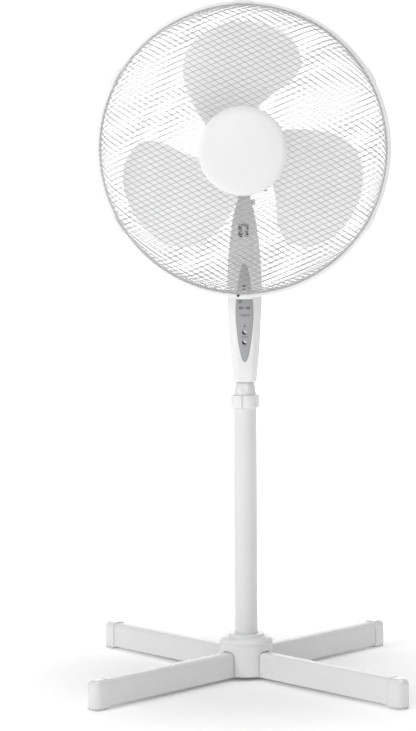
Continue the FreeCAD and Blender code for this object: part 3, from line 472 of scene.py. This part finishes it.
def dense(prof, n=14):
    """Centripetal-like smooth curve through the profile; returns [(s, r, u, nr, nu)] with arc length from the centre."""
    pts = [Vector((r, u)) for r, u in prof]
    out = []
    for i in range(len(pts) - 1):
        p0 = pts[max(i - 1, 0)]
        p1, p2 = pts[i], pts[i + 1]
        p3 = pts[min(i + 2, len(pts) - 1)]
        L = (p2 - p1).length
        m1 = (p2 - p0) / max((p2 - p1).length + (p1 - p0).length, 1e-6) * L
        m2 = (p3 - p1) / max((p3 - p2).length + (p2 - p1).length, 1e-6) * L
        for q in range(n):
            t = q / n
            out.append((2 * t ** 3 - 3 * t ** 2 + 1) * p1 + (t ** 3 - 2 * t ** 2 + t) * m1 + (-2 * t ** 3 + 3 * t ** 2) * p2 + (t ** 3 - t ** 2) * m2)
    out.append(pts[-1])
    s = prof[0][0]
    res = []
    for i, p in enumerate(out):
        if i:
            s += (p - out[i - 1]).length
        a, b = out[max(i - 1, 0)], out[min(i + 1, len(out) - 1)]
        d = (b - a).normalized()
        res.append((s, p.x, p.y, -d.y, d.x))
    return res


class Dish:
    def __init__(self, prof):
        self.tab = dense(prof)
        self.s0, self.s1 = self.tab[0][0], self.tab[-1][0]

    def at(self, s):
        t = self.tab
        if s <= t[0][0]:
            return t[0][1] - (t[0][0] - s), t[0][2], 0.0, t[0][4]
        if s >= t[-1][0]:
            return t[-1][1:]
        lo, hi = 0, len(t) - 1
        while hi - lo > 1:
            m = (lo + hi) // 2
            if t[m][0] <= s:
                lo = m
            else:
                hi = m
        f = (s - t[lo][0]) / (t[hi][0] - t[lo][0])
        return tuple(a + f * (b - a) for a, b in zip(t[lo][1:], t[hi][1:]))


def wires(name, prof, families, period, wire_r, s_in, body, nodes, sides=6, step=4.0, outer=1.0):
    """Two families of straight wires laid in the flat developed sheet and pressed onto the dish."""
    d = Dish(prof)
    verts, faces = [], []
    smax = d.s1
    for fi, (ang, phase) in enumerate(families):
        ca, sa = math.cos(math.radians(ang)), math.sin(math.radians(ang))
        off = (0.5 - fi) * wire_r * 1.7 * outer
        kmax = int(smax / period) + 1
        for k in range(-kmax, kmax + 1):
            p = (k + phase) * period
            if abs(p) >= smax - 0.5:
                continue
            half = math.sqrt(smax * smax - p * p)
            spans = [(-half, half)]
            if abs(p) < s_in:
                hi = math.sqrt(s_in * s_in - p * p)
                spans = [(-half, -hi), (hi, half)]
            for t0, t1 in spans:
                if t1 - t0 < 3.0:
                    continue
                m = max(3, int((t1 - t0) / step))
                path = []
                for i in range(m + 1):
                    t = t0 + (t1 - t0) * i / m
                    x, z = -sa * p + ca * t, ca * p + sa * t
                    s = math.hypot(x, z)
                    f = math.atan2(z, x)
                    r, u, nr, nu = d.at(s)
                    r += nr * off
                    u += nu * off
                    c, sn = math.cos(f), math.sin(f)
                    path.append((Vector((r * c, RING_Y - u, HEAD_Z + r * sn)), Vector((nr * c, -nu, nr * sn))))
                base = len(verts)
                for i, (P, N) in enumerate(path):
                    T = (path[min(i + 1, m)][0] - path[max(i - 1, 0)][0]).normalized()
                    B = T.cross(N).normalized()
                    N2 = B.cross(T)
                    for q in range(sides):
                        a = 2 * math.pi * q / sides
                        verts.append(HEADM @ (P + (N2 * math.cos(a) + B * math.sin(a)) * wire_r))
                for i in range(m):
                    for q in range(sides):
                        w = (q + 1) % sides
                        faces.append((base + i * sides + q, base + i * sides + w, base + (i + 1) * sides + w, base + (i + 1) * sides + q))
                faces.append(tuple(base + q for q in range(sides))[::-1])
                faces.append(tuple(base + m * sides + q for q in range(sides)))
    me = bpy.data.meshes.new(name)
    me.from_pydata(verts, [], faces)
    o = bpy.data.objects.new(name, me)
    bpy.context.scene.collection.objects.link(o)
    shade(o, 60.0)
    return piece(o, body, "guard_wire", *nodes)


PERIOD = 7.75
WIRE_R = 0.56
wires("front_guard_mesh", FRONT, [(21.7, 0.30), (-34.3, 0.10)], PERIOD, WIRE_R, 60.0, "head", ["front_guard"], sides=6, step=4.0)
wires("rear_guard_mesh", REAR, [(23.7, 0.05), (-31.5, 0.55)], PERIOD, WIRE_R, 56.0, "head", ["rear_guard"], sides=6, step=4.0, outer=-1.0)

# medallion: one smooth shallow dome with a rounded edge
Yu = lambda u: RING_Y - u
prof = [(0.0, 62.0)]
for r in range(4, 61, 4):
    prof.append((float(r), 55.9 + 6.1 * math.sqrt(max(0.0, 1 - (r / 69.5) ** 2.3))))
prof += [(62.2, 58.05), (63.6, 57.45), (64.7, 56.75), (65.4, 56.1), (65.6, 55.5), (65.3, 55.2), (64.6, 55.1), (61.5, 55.1), (60.5, 55.4), (0.0, 58.6)]
med = lathe("front_medallion_dome", [(r, Yu(u)) for r, u in prof], 128, "Y", HEADM, sharp=40)
piece(med, "head", "medallion_plastic", "front_medallion")

# rim screw: small pan head with a cross slot, seen on the lower edge of the rim
_sa = math.radians(-90.0) - 8.6 / RIM_R
SX, SZ = (RIM_R - 3.2) * math.cos(_sa), HEAD_Z + (RIM_R - 3.2) * math.sin(_sa)
SCR = HEADM @ Matrix.Translation((SX, 0, SZ - HEAD_Z))
sh = lathe("rim_screw_head", [(0, Yu(11.7)), (0.9, Yu(11.65)), (1.6, Yu(11.35)), (2.0, Yu(10.9)), (2.05, Yu(10.3)), (1.5, Yu(10.2)), (1.5, Yu(-15.6)), (1.2, Yu(-15.8)), (0, Yu(-15.8))], 40, "Y", SCR, sharp=35)
cuts = []
for a in (20, 110):
    c, s_ = math.cos(math.radians(a)), math.sin(math.radians(a))
    q = [(-1.3, -0.28), (1.3, -0.28), (1.3, 0.28), (-1.3, 0.28)]
    cuts.append(loft("c", [[(u * c - v * s_, y, HEAD_Z + u * s_ + v * c) for u, v in q] for y in (Yu(12.5), Yu(11.1))], SCR))
boolean(sh, cuts, sharp=35)
piece(sh, "head", "dark_steel", "rim_screw")

# ------------------------------------------------------------------ fan wheel
EDGE_T = [(34, 34), (52, 29.5), (70, 25), (100, 17.5), (130, 11.5), (152, 6.0), (168, 0.0), (180, -8.0), (187, -16.5), (189.6, -24.0), (190.4, -32.0)]
EDGE_L = [(34, -38), (52, -44.5), (70, -50.5), (100, -60), (130, -66), (152, -65.5), (168, -60.5), (180, -54.0), (187, -46.5), (189.6, -40.5), (190.4, -33.0)]
ROT_Y = -98.0
DEPTH = [(34, 40), (70, 45), (100, 47), (150, 39), (175, 27), (190.4, 14)]
CAMB = [(34, 3), (100, 8), (150, 8), (175, 5.5), (190.4, 2)]


def blade_mid(r, v):
    a = math.radians(mono(EDGE_T, r) + v * (mono(EDGE_L, r) - mono(EDGE_T, r)))
    y = ROT_Y + mono(DEPTH, r) * (v - 0.5) - mono(CAMB, r) * 4 * v * (1 - v)
    return Vector((r * math.cos(a), y, HEAD_Z + r * math.sin(a)))


def blade_mesh(name, turn):
    rs = [35.0 + (180.0 - 35.0) * i / 30 for i in range(31)] + [182.5, 184.5, 186.2, 187.6, 188.7, 189.5, 190.0, 190.3]
    vs = [0.5 - 0.5 * math.cos(math.pi * (0.02 + 0.96 * i / 32)) for i in range(33)]
    vs = [0.0, 0.0035, 0.008, 0.016] + [0.03 + 0.94 * i / 26 for i in range(27)] + [0.984, 0.992, 0.9965, 1.0]
    rot = Matrix.Translation((0, 0, HEAD_Z)) @ Matrix.Rotation(math.radians(turn), 4, "Y") @ Matrix.Translation((0, 0, -HEAD_Z))
    V0, faces = [], []
    nv = len(vs)
    for side in (-1, 1):
        for i, r in enumerate(rs):
            for j, v in enumerate(vs):
                p = blade_mid(r, v)
                e = 0.3
                du = blade_mid(min(r + e, 190.4), v) - blade_mid(max(r - e, 34), v)
                dv = blade_mid(r, min(v + 0.01, 1)) - blade_mid(r, max(v - 0.01, 0))
                nrm = du.cross(dv)
                nrm = nrm.normalized() if nrm.length > 1e-9 else Vector((0, -1, 0))
                if nrm.y > 0:
                    nrm = -nrm
                edge_mm = min(v, 1 - v) * max(6.0, math.radians(abs(mono(EDGE_T, r) - mono(EDGE_L, r))) * r)
                tip = 190.4 - r
                x = min(edge_mm, tip) / 1.1
                t = 1.15 * math.sqrt(max(0.0, 1 - (1 - min(1.0, x)) ** 2)) + 0.6 * max(0.0, (70 - r) / 36)
                V0.append(rot @ (p + nrm * (side * -t)))
    n1 = len(rs) * nv
    for i in range(len(rs) - 1):
        for j in range(nv - 1):
            a = i * nv + j
            faces.append((a, a + 1, a + nv + 1, a + nv))
            b = n1 + a
            faces.append((b, b + nv, b + nv + 1, b + 1))
    for j in range(nv - 1):                       # close root and tip
        faces.append((j, n1 + j, n1 + j + 1, j + 1))
        a = (len(rs) - 1) * nv + j
        faces.append((a, a + 1, n1 + a + 1, n1 + a))
    for i in range(len(rs) - 1):
        a = i * nv
        faces.append((a, a + nv, n1 + a + nv, n1 + a))
        b = a + nv - 1
        faces.append((b, n1 + b, n1 + b + nv, b + nv))
    return finish_mesh(name, V0, faces, HEADM, merge=0.01, sharp=50)


parts = [blade_mesh("bl%d" % i, -120.0 * i) for i in range(3)]
hub_prof = ([(4.1, -124.0), (9.4, -124.0), (10.0, -123.4), (11.0, -119.6), (12.0, -119.0), (29.0, -119.0)] + [(29 + 9 * math.sin(math.radians(a)), -110 - 9 * math.cos(math.radians(a))) for a in range(10, 91, 10)]
            + [(38.0, -100), (38.0, -90), (38.0, -79.0), (37.4, -78.2), (36.2, -78.2), (35.6, -79.0), (35.6, -109.0)] + [(28.5 + 7.1 * math.sin(math.radians(a)), -109.6 - 6.6 * math.cos(math.radians(a))) for a in range(80, 9, -10)]
            + [(12.0, -116.2), (10.6, -115.6), (10.0, -114.0), (10.0, -72.6), (9.4, -72.0), (4.1, -72.0)])
parts.append(lathe("hub", hub_prof, 96, "Y", HEADM))
for i in range(6):
    c, s = math.cos(math.radians(60 * i + 10)), -math.sin(math.radians(60 * i + 10))
    pts = []
    for (r, y) in ((9.6, -115.9), (36.0, -115.0), (36.0, -92.0), (9.6, -88.0)):
        pts.append((r, y))
    rings = []
    for w in (-0.9, 0.9):
        rings.append([(r * c - w * s, y, HEAD_Z + r * s + w * c) for r, y in pts])
    parts.append(loft("rib", rings, HEADM))
wheel = join("fan_wheel", parts)
piece(wheel, "rotor", "blade_plastic", "fan_blade")

# ------------------------------------------------------------------ control housing
PROF = [(462, 18.3, 19.8, 13.8), (479, 20.0, 24.0, 14.5), (496, 21.8, 24.0, 15.0), (527, 23.9, 24.0, 15.4), (558, 25.5, 24.0, 15.5),
        (590, 27.0, 24.0, 15.5), (618, 26.9, 24.0, 15.5), (659, 24.9, 24.0, 15.0), (689, 21.8, 21.5, 14.4), (716, 17.9, 17.2, 13.0), (735, 14.0, 13.8, 10.6),
        (748, 12.4, 13.6, 9.7)]
TB = [(z, b) for z, b, d, a in PROF]
TD = [(z, d) for z, b, d, a in PROF]
TA = [(z, a) for z, b, d, a in PROF]
WALL = 2.4


def hsg_half(z, off, sgn, soft, seam=0.2):
    """Half section (front: sgn -1, rear: +1): open line from the left seam round to the right seam."""
    b, d, a = mono(TB, z) - off, mono(TD, z) - off, mono(TA, z) - off * 0.42
    e = 0.36 * mono(TB, z) - off * 0.35
    pts = [(-b, sgn * seam), (-b, sgn * e), (-a, sgn * d), (a, sgn * d), (b, sgn * e), (b, sgn * seam)]
    # open polyline with rounded inner corners
    out = [pts[0]]
    n = 5
    for i in range(1, 5):
        p0, p, p1 = Vector(pts[i - 1]), Vector(pts[i]), Vector(pts[i + 1])
        u, w = (p0 - p).normalized(), (p1 - p).normalized()
        ang = math.acos(max(-1, min(1, u.dot(w))))
        dd = min(soft / math.tan(ang / 2), (p0 - p).length * 0.45, (p1 - p).length * 0.45)
        rr = dd * math.tan(ang / 2)
        c = p + (u + w).normalized() * (rr / math.sin(ang / 2))
        va, ve = p + u * dd - c, p + w * dd - c
        t0 = math.atan2(va.y, va.x)
        dt = math.atan2(va.x * ve.y - va.y * ve.x, va.dot(ve))
        for q in range(n + 1):
            t = t0 + dt * q / n
            out.append((c.x + rr * math.cos(t), c.y + rr * math.sin(t)))
    out.append(pts[-1])
    return out


def hsg_shell(name, sgn):
    top = 748.0 if sgn < 0 else 735.0
    zs = [462.0, 462.25, 462.8, 463.6, 464.5, 465.28, 465.4, 467.5, 469.5, 469.9, 470.3] + [473 + (732 - 473) * i / 50 for i in range(51)] + ([735.0, 738.0, 741.0, 744.0] if sgn < 0 else []) + [top - 1.6, top - 0.6, top - 0.2, top]
    rings = []
    for z in zs:
        lead = 0.0
        if z < 465.3:                          # drawn-in lip under a fine step
            lead = 0.35 + 1.1 * (1 - math.sqrt(max(0, 1 - ((465.3 - z) / 3.3) ** 2)))
        if 469.7 < z < 470.1:                  # hairline above the lip
            lead = 0.22
        if z > top - 1.6:
            lead = 0.8 * (1 - math.sqrt(max(0, 1 - ((z - top + 1.6) / 1.6) ** 2)))
        o = hsg_half(z, lead, sgn, 3.4 + 6.0 * min(1.0, max(0.0, (600.0 - z) / 115.0)))
        # small return at the seam makes a fine shadow line between the shells
        o[0] = (o[0][0] + 0.35, sgn * 0.12)
        o[-1] = (o[-1][0] - 0.35, sgn * 0.12)
        o.insert(1, (o[1][0], sgn * 0.55))
        o.insert(len(o) - 1, (o[-2][0], sgn * 0.55))
        i_ = hsg_half(z, WALL, sgn, 2.4)
        i_[0] = (i_[0][0], sgn * 0.12)
        i_[-1] = (i_[-1][0], sgn * 0.12)
        rings.append([(x, y, z) for x, y in o] + [(x, y, z) for x, y in reversed(i_)])
    k = len(rings[0])
    verts, faces = [], []
    for r in rings:
        verts += r
    no, ni = len(o), len(i_)
    for i in range(len(rings) - 1):
        for q in range(k):
            w = (q + 1) % k
            faces.append((i * k + q, i * k + w, (i + 1) * k + w, (i + 1) * k + q))
    for base, flip in ((0, True), ((len(rings) - 1) * k, False)):
        # end faces between the outer and the inner line
        m = min(no, ni)
        oi = [base + round(j * (no - 1) / (m - 1)) for j in range(m)]
        ii = [base + no + (ni - 1) - round(j * (ni - 1) / (m - 1)) for j in range(m)]
        f = [base + j for j in range(k)]
        faces.append(tuple(f[::-1]) if flip else tuple(f))
    return finish_mesh(name, verts, faces, ROWM, sharp=32, merge=0.003)


def panel_outline(grow, n=36):
    zc, hh, ww = (494.0 + 646.5) / 2, (646.5 - 494.0) / 2 + grow, 13.8 + grow
    right, left = [], []
    for i in range(n + 1):
        t = -math.cos(math.pi * i / n)
        w = ww * max(0.0, 1 - t * t) ** (0.5 + 0.75 * (1 - abs(t)))
        right.append((w, zc + hh * t))
        if 0 < i < n:
            left.append((-w, zc + hh * t))
    return right + left[::-1]


hf = hsg_shell("housing_front_shell", -1)
hr = hsg_shell("housing_rear_shell", 1)
cut_panel = prism("c1", panel_outline(0.16), -30.0, -20.0)
win = rounded_poly([(-9.0, 688.0), (7.0, 688.0), (7.0, 709.0), (-9.0, 709.0)], 2.2, 5)
cut_win = prism("c2", win, -40.0, -12.9)
cut_back = prism("c3", [(-7.0, 735.0), (40.0, 735.0), (40.0, 760.0), (-7.0, 760.0)], -40.0, 40.0, "YZ")
cut_hinge = prism("c4", [(11.3 * math.cos(math.radians(a)), TILT_Z + 11.3 * math.sin(math.radians(a))) for a in range(0, 360, 5)], -40.0, 40.0, "YZ")
boolean(hf, [cut_panel, cut_win, cut_back, cut_hinge], sharp=32)
cuts = []
for z in (497.0, 642.0):
    c = lathe("c", [(0, 21.0), (3.7, 21.0), (3.7, 30.0), (0, 30.0)], 32, "Y", ROWM @ Matrix.Translation((0, 0, z - HEAD_Z)))
    cuts.append(c)
cuts.append(lathe("c", [(0, 12.0), (4.7, 12.0), (4.7, 30.0), (0, 30.0)], 32, "Y", ROWM @ Matrix.Translation((0, 0, 520.0 - HEAD_Z))))
boolean(hr, cuts, sharp=32)
piece(hf, "mast", "housing_plastic", "control_housing_front")
piece(hr, "mast", "housing_plastic", "control_housing_rear")


def panel_mesh():
    """Pointed oval plate with a rolled edge and a faint crown."""
    n, m = 64, 20
    zc, hh = (494.0 + 646.5) / 2, (646.5 - 494.0) / 2
    rings = []
    for k, (ins, y) in enumerate([(0.0, -21.7), (0.0, -24.15), (0.12, -24.45), (0.4, -24.68), (0.8, -24.8), (1.6, -24.86)]):
        pts = panel_outline(-ins, n)
        rings.append([(x, y, z) for x, z in pts])
    verts, faces = [], []
    k = len(rings[0])
    for r in rings:
        verts += r
    for i in range(len(rings) - 1):
        for q in range(k):
            w = (q + 1) % k
            faces.append((i * k + q, i * k + w, (i + 1) * k + w, (i + 1) * k + q))
    faces.append(tuple(range(k)))
    b = (len(rings) - 1) * k
    # crowned middle: strips across the width
    left = {}
    top = panel_outline(-1.6, n)
    for i in range(1, n):
        r = b + i
        l = b + k - i
        left[i] = (r, l)
    mids = {}
    for i in range(1, n):
        x, z = top[i]
        row = []
        for j in range(1, m):
            f = 1 - 2 * j / m
            xx = x * f
            row.append(len(verts))
            verts.append((xx, -24.86 - 0.24 * (1 - f * f) * min(1.0, x / 8.0), z))
        mids[i] = [b + i] + row + [b + k - i]
    for i in range(1, n - 1):
        for j in range(m):
            faces.append((mids[i][j], mids[i][j + 1], mids[i + 1][j + 1], mids[i + 1][j]))
    for j in range(m):
        faces.append((b, mids[1][j + 1], mids[1][j]))
        faces.append((b + n, mids[n - 1][j], mids[n - 1][j + 1]))
    return finish_mesh("control_panel_plate", verts, faces, ROWM, merge=0.02, sharp=50)


panel = panel_mesh()
cuts = []
for r, x, z in ((4.12, 0, 540.5), (4.12, 0, 525.0), (1.62, -6.6, 588.0), (1.62, -6.0, 578.0), (1.62, 6.3, 578.0), (2.8, 0, 610.5)):
    c = lathe("c", [(0, -30.0), (r, -30.0), (r, -18.0), (0, -18.0)], 40, "Y", ROWM @ Matrix.Translation((x, 0, z - HEAD_Z)))
    cuts.append(c)
boolean(panel, cuts, sharp=40)
piece(panel, "mast", "panel_grey", "control_panel")


# printed signs: thin raised strokes, pictograms only
def stroke(pts, w, closed=False, y0=-24.99, h=0.16):
    """Ribbon of width w along points in the panel plane."""
    n = len(pts)
    L, R = [], []
    for i in range(n):
        a = Vector(pts[(i - 1) % n] if closed or i else pts[0])
        b = Vector(pts[(i + 1) % n] if closed or i < n - 1 else pts[-1])
        d = (b - a).normalized()
        nn = Vector((-d.y, d.x)) * (w / 2)
        p = Vector(pts[i])
        L.append(p + nn)
        R.append(p - nn)
    verts, faces = [], []
    for s, y in ((L, y0), (R, y0), (R, y0 - h), (L, y0 - h)):
        for p in s:
            verts.append((p.x, y + 0.22 * (p.x / 13.0) ** 2, p.y))
    m = n if closed else n - 1
    for i in range(m):
        j = (i + 1) % n
        for q in range(4):
            w_ = (q + 1) % 4
            faces.append((q * n + i, q * n + j, w_ * n + j, w_ * n + i))
    if not closed:
        faces.append((0, n, 2 * n, 3 * n))
        faces.append((n - 1, 4 * n - 1, 3 * n - 1, 2 * n - 1))
    return finish_mesh("sign", verts, faces, ROWM, smooth=False)


def ring_sign(x, z, r, w=0.35, a0=0, a1=360, n=28):
    pts = [(x + r * math.cos(math.radians(a0 + (a1 - a0) * i / n)), z + r * math.sin(math.radians(a0 + (a1 - a0) * i / n))) for i in range(n + 1)]
    if abs(a1 - a0) >= 360:
        return stroke(pts[:-1], w, True)
    return stroke(pts, w)


signs = []
# dark bezels round the three lamps and the receiver window
for x, z, r in ((-6.6, 588.0, 2.0), (-6.0, 578.0, 2.0), (6.3, 578.0, 2.0), (0.0, 610.5, 3.2)):
    signs.append(ring_sign(x, z, r, 0.8))
# speed bars of growing height above the upper lamp
for i in range(3):
    signs.append(stroke([(-8.0 + 1.5 * i, 591.4), (-8.0 + 1.5 * i, 592.6 + 0.8 * i)], 0.75))
# clock sign beside the left lamp, swing sign beside the right lamp
signs.append(ring_sign(-2.2, 578.4, 1.5, 0.5))
signs.append(stroke([(-2.2, 579.4), (-2.2, 578.4), (-1.5, 578.0)], 0.4))
signs.append(ring_sign(2.4, 578.4, 1.5, 0.5, a0=-50, a1=230))
signs.append(stroke([(2.8, 576.6), (3.35, 577.3), (4.2, 576.9)], 0.45))
# breeze sign: a row of waves, broken in three
for i in range(4):
    x0 = -7.9 + 4.3 * i
    signs.append(stroke([(x0 + 3.7 * t / 16, 567.2 + 1.0 * math.sin(2 * math.pi * t / 16)) for t in range(17)], 0.85))
signs.append(stroke([(-4.4, 564.6), (7.4, 564.6)], 0.4))
# fan sign above the first key, power sign with two dots between the keys
for k in range(3):
    a = math.radians(90 + 120 * k)
    signs.append(ring_sign(0.2 + 1.15 * math.cos(a), 550.0 + 1.15 * math.sin(a), 0.85, 0.55, n=16))
signs.append(ring_sign(0, 533.0, 1.2, 0.5, a0=120, a1=420, n=24))
signs.append(stroke([(0, 533.1), (0, 534.9)], 0.5))
for x in (-3.4, 3.4):
    signs.append(ring_sign(x, 533.0, 0.75, 0.6, n=16))
signs.append(ring_sign(0, 517.2, 0.9, 0.35, a0=20, a1=340, n=24))
sg = join("panel_signs", signs)
paint(sg, "print_dark")
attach(sg, "mast")

# keys: domed, plated
for nm, body, z in (("power_button", "power_key", 540.5), ("mode_button", "mode_key", 525.0)):
    y0 = -20.4
    pr = [(0, y0 - 6.75), (1.0, y0 - 6.68), (1.9, y0 - 6.45), (2.7, y0 - 6.05), (3.3, y0 - 5.55), (3.65, y0 - 5.05), (3.82, y0 - 4.4), (3.85, y0 - 3.6), (3.85, y0), (5.1, y0), (5.1, y0 + 0.95), (0, y0 + 0.95)]
    k = lathe(nm + "_dome", pr, 64, "Y", ROWM @ Matrix.Translation((0, 0, z - HEAD_Z)), sharp=40)
    piece(k, body, "button_chrome", nm)

# ------------------------------------------------------------------ height nut
GROOVE = math.radians(-99.3)


def nut_mod(r, h, a):
    """Six finger grooves round the grip ring; six soft flats round the taper above them."""
    t = (a - GROOVE + math.pi / 6) % (math.pi / 3) - math.pi / 6      # angle from the nearest groove
    if h < 441.9 and r > 18.0:
        w = abs(t) * 22.4 / 2.2
        g = (1 - w ** 3) ** 0.5 if w < 1 else 0.0
        crown = 0.8 * (1 - math.cos(6 * t)) * 0.5
        return r - (2.5 * g + 0.8 - crown) * min(1.0, (r - 18.0) / 2.5)
    if h > 444.5 and r > 14.0:
        f = min(1.0, (h - 444.5) / 7.0) * min(1.0, (r - 14.0) / 0.6)
        return r - 1.15 * f * (0.5 + 0.5 * math.cos(6 * t))
    return r


Z0 = 421.2
nut_prof = [(17.35, Z0), (20.6, Z0), (21.6, Z0 + 0.25), (22.2, Z0 + 0.8), (22.55, Z0 + 1.6), (22.6, Z0 + 5), (22.6, Z0 + 10), (22.6, Z0 + 15), (22.55, Z0 + 18.4), (22.2, Z0 + 19.4), (21.5, Z0 + 20.0), (19.8, Z0 + 20.3),
            (17.8, Z0 + 20.5), (17.4, Z0 + 20.9), (17.2, Z0 + 22), (16.85, Z0 + 24.6), (16.5, Z0 + 27), (16.15, Z0 + 29.5), (15.85, Z0 + 32), (15.5, Z0 + 34.5), (15.2, Z0 + 37), (15.0, Z0 + 38.9), (14.8, Z0 + 39.5), (14.4, Z0 + 39.8), (13.6, Z0 + 39.8), (12.95, Z0 + 39.8), (12.95, 454.5), (14.9, 451.3), (17.35, 441.0)]
nut = lathe("height_nut_grip", nut_prof, 288, "Z", ROWM, mod=nut_mod, sharp=50)
piece(nut, "lift_nut", "white_plastic", "height_nut")

# ------------------------------------------------------------------ base cover
bc = [(41.9, 5.5), (42.0, 6.2), (42.0, 30.0), (42.0, 48.5), (41.7, 52.6), (41.2, 54.5), (41.4, 55.4), (42.1, 56.1), (42.45, 57.4), (42.35, 58.9), (41.6, 60.5), (40.2, 62.0), (37.5, 63.1), (33.0, 64.0), (30.0, 64.5), (29.2, 64.9),
      (28.9, 65.5), (28.95, 66.5), (28.6, 67.7), (27.6, 68.5), (26.0, 68.85), (20.0, 68.9), (18.6, 68.9), (18.3, 68.6), (18.25, 67.9), (18.25, 66.1), (25.6, 65.9), (25.6, 62.9), (38.6, 59.5), (39.4, 58.0), (39.4, 48.0), (39.4, 30.0), (39.4, 5.5)]
cover = lathe("base_cover_shell", bc, 144, "Z", BASEM, sharp=30)
cuts = []
h = 24.0 / 2 + 1.1
arch = [(-h, -5.0), (h, -5.0)] + [(h - 8.1 + 8.1 * math.cos(math.radians(a)), 43.8 - 8.1 + 8.1 * math.sin(math.radians(a))) for a in range(0, 91, 9)] + [(-h + 8.1 - 8.1 * math.sin(math.radians(a)), 43.8 - 8.1 + 8.1 * math.cos(math.radians(a))) for a in range(0, 91, 9)]
for ang in (45, -45):
    c = loft("c", [[(x, y, z) for y, z in arch] for x in (-80.0, 80.0)], BASEM @ Matrix.Rotation(math.radians(ang), 4, "Z"))
    cuts.append(c)
boolean(cover, cuts, sharp=30)
piece(cover, "base", "white_plastic", "base_cover")

# ------------------------------------------------------------------ floor, light, camera
def floor():
    pts = []
    n = 28
    prof = [(-7.0, 0.0), (8.0, 0.0)] + [(8.0 + 1.2 * math.sin(math.radians(a)), 1.2 - 1.2 * math.cos(math.radians(a))) for a in range(6, 91, 6)] + [(9.2, 4.0)]
    verts, faces = [], []
    xs = (-7.0, 7.0)
    for y, z in prof:
        for x in xs:
            verts.append((x, y, z))
    for i in range(len(prof) - 1):
        faces.append((2 * i, 2 * i + 1, 2 * i + 3, 2 * i + 2))
    me = bpy.data.meshes.new("floor")
    me.from_pydata(verts, [], faces)
    o = bpy.data.objects.new("floor", me)
    bpy.context.scene.collection.objects.link(o)
    for p in me.polygons:
        p.use_smooth = True
    m, nt, b = new_mat("floor_white")
    n_ = noise(nt, 2.0, 3.0)
    nt.links.new(ramp(nt, n_, (0.93, 0.93, 0.93), (0.95, 0.95, 0.95)), b.inputs["Base Color"])
    b.inputs["Roughness"].default_value = 0.9
    b.inputs["Specular IOR Level"].default_value = 0.1
    b.inputs["Emission Color"].default_value = (1, 1, 1, 1)
    # painted light: the floor glows by distance from the centre, faintly round the base where the real contact shadows
    # fall, more strongly further out and far away
    tc = nt.nodes.new("ShaderNodeTexCoord")
    ln = nt.nodes.new("ShaderNodeVectorMath")
    ln.operation = "LENGTH"
    nt.links.new(tc.outputs["Object"], ln.inputs[0])
    mr = nt.nodes.new("ShaderNodeMapRange")
    mr.interpolation_type = "SMOOTHSTEP"
    for k_, v_ in (("From Min", 0.12), ("From Max", 0.62), ("To Min", 0.05), ("To Max", 0.40)):
        mr.inputs[k_].default_value = v_
    nt.links.new(ln.outputs["Value"], mr.inputs["Value"])
    far = nt.nodes.new("ShaderNodeMapRange")
    for k_, v_ in (("From Min", 1.3), ("From Max", 4.5), ("To Min", 0.0), ("To Max", 0.42)):
        far.inputs[k_].default_value = v_
    nt.links.new(ln.outputs["Value"], far.inputs["Value"])
    sm = nt.nodes.new("ShaderNodeMath")
    sm.operation = "ADD"
    nt.links.new(mr.outputs[0], sm.inputs[0])
    nt.links.new(far.outputs[0], sm.inputs[1])
    nt.links.new(sm.outputs[0], b.inputs["Emission Strength"])
    me.materials.append(m)


floor()


def area(name, loc, target, size, power, color=(1, 1, 1)):
    l = bpy.data.lights.new(name, "AREA")
    l.shape = "RECTANGLE"
    l.size, l.size_y = size
    l.energy = power
    l.color = color
    o = bpy.data.objects.new(name, l)
    bpy.context.scene.collection.objects.link(o)
    o.location = loc
    d = Vector(target) - Vector(loc)
    o.rotation_euler = d.to_track_quat("-Z", "Y").to_euler()
    return o


area("key", (-2.9, -2.0, 1.9), (0, 0, 0.7), (1.3, 1.3), 43)
area("front", (-0.3, -3.7, 1.25), (0, 0, 0.6), (0.9, 0.9), 14)
area("side", (3.2, -0.9, 1.3), (0, 0, 0.7), (1.2, 1.6), 1.5)
area("top", (0.2, 0.1, 3.2), (0, 0, 0), (2.2, 2.2), 41)

w = bpy.data.worlds.new("w")
bpy.context.scene.world = w
w.use_nodes = True
bg = w.node_tree.nodes["Background"]
bg.inputs[0].default_value = (1.0, 1.0, 1.0, 1)
bg.inputs[1].default_value = 0.36

sc = bpy.context.scene
sc.view_settings.view_transform = "Standard"

# camera: fitted viewing position
CX, CY, CZ = 0.02949, -3.02306, 0.68106
YAW, PITCH, ROLL, FPX = 1.6562, -3.5803, 0.3537, 1930.65
cd = bpy.data.cameras.new("cam")
cam = bpy.data.objects.new("cam", cd)
sc.collection.objects.link(cam)
cd.sensor_fit = "VERTICAL"
cd.sensor_height = 36.0
cd.sensor_width = 36.0
cd.lens = FPX / 731.0 * 36.0
cd.clip_end = 50
cam.matrix_world = (Matrix.Translation((CX, CY, CZ)) @ Matrix.Rotation(math.radians(YAW), 4, "Z") @ Matrix.Rotation(math.radians(PITCH), 4, "X")
                    @ Matrix.Rotation(math.radians(ROLL), 4, "Y") @ Matrix.Rotation(math.radians(90), 4, "X"))
sc.camera = cam

bpy.context.view_layer.update()
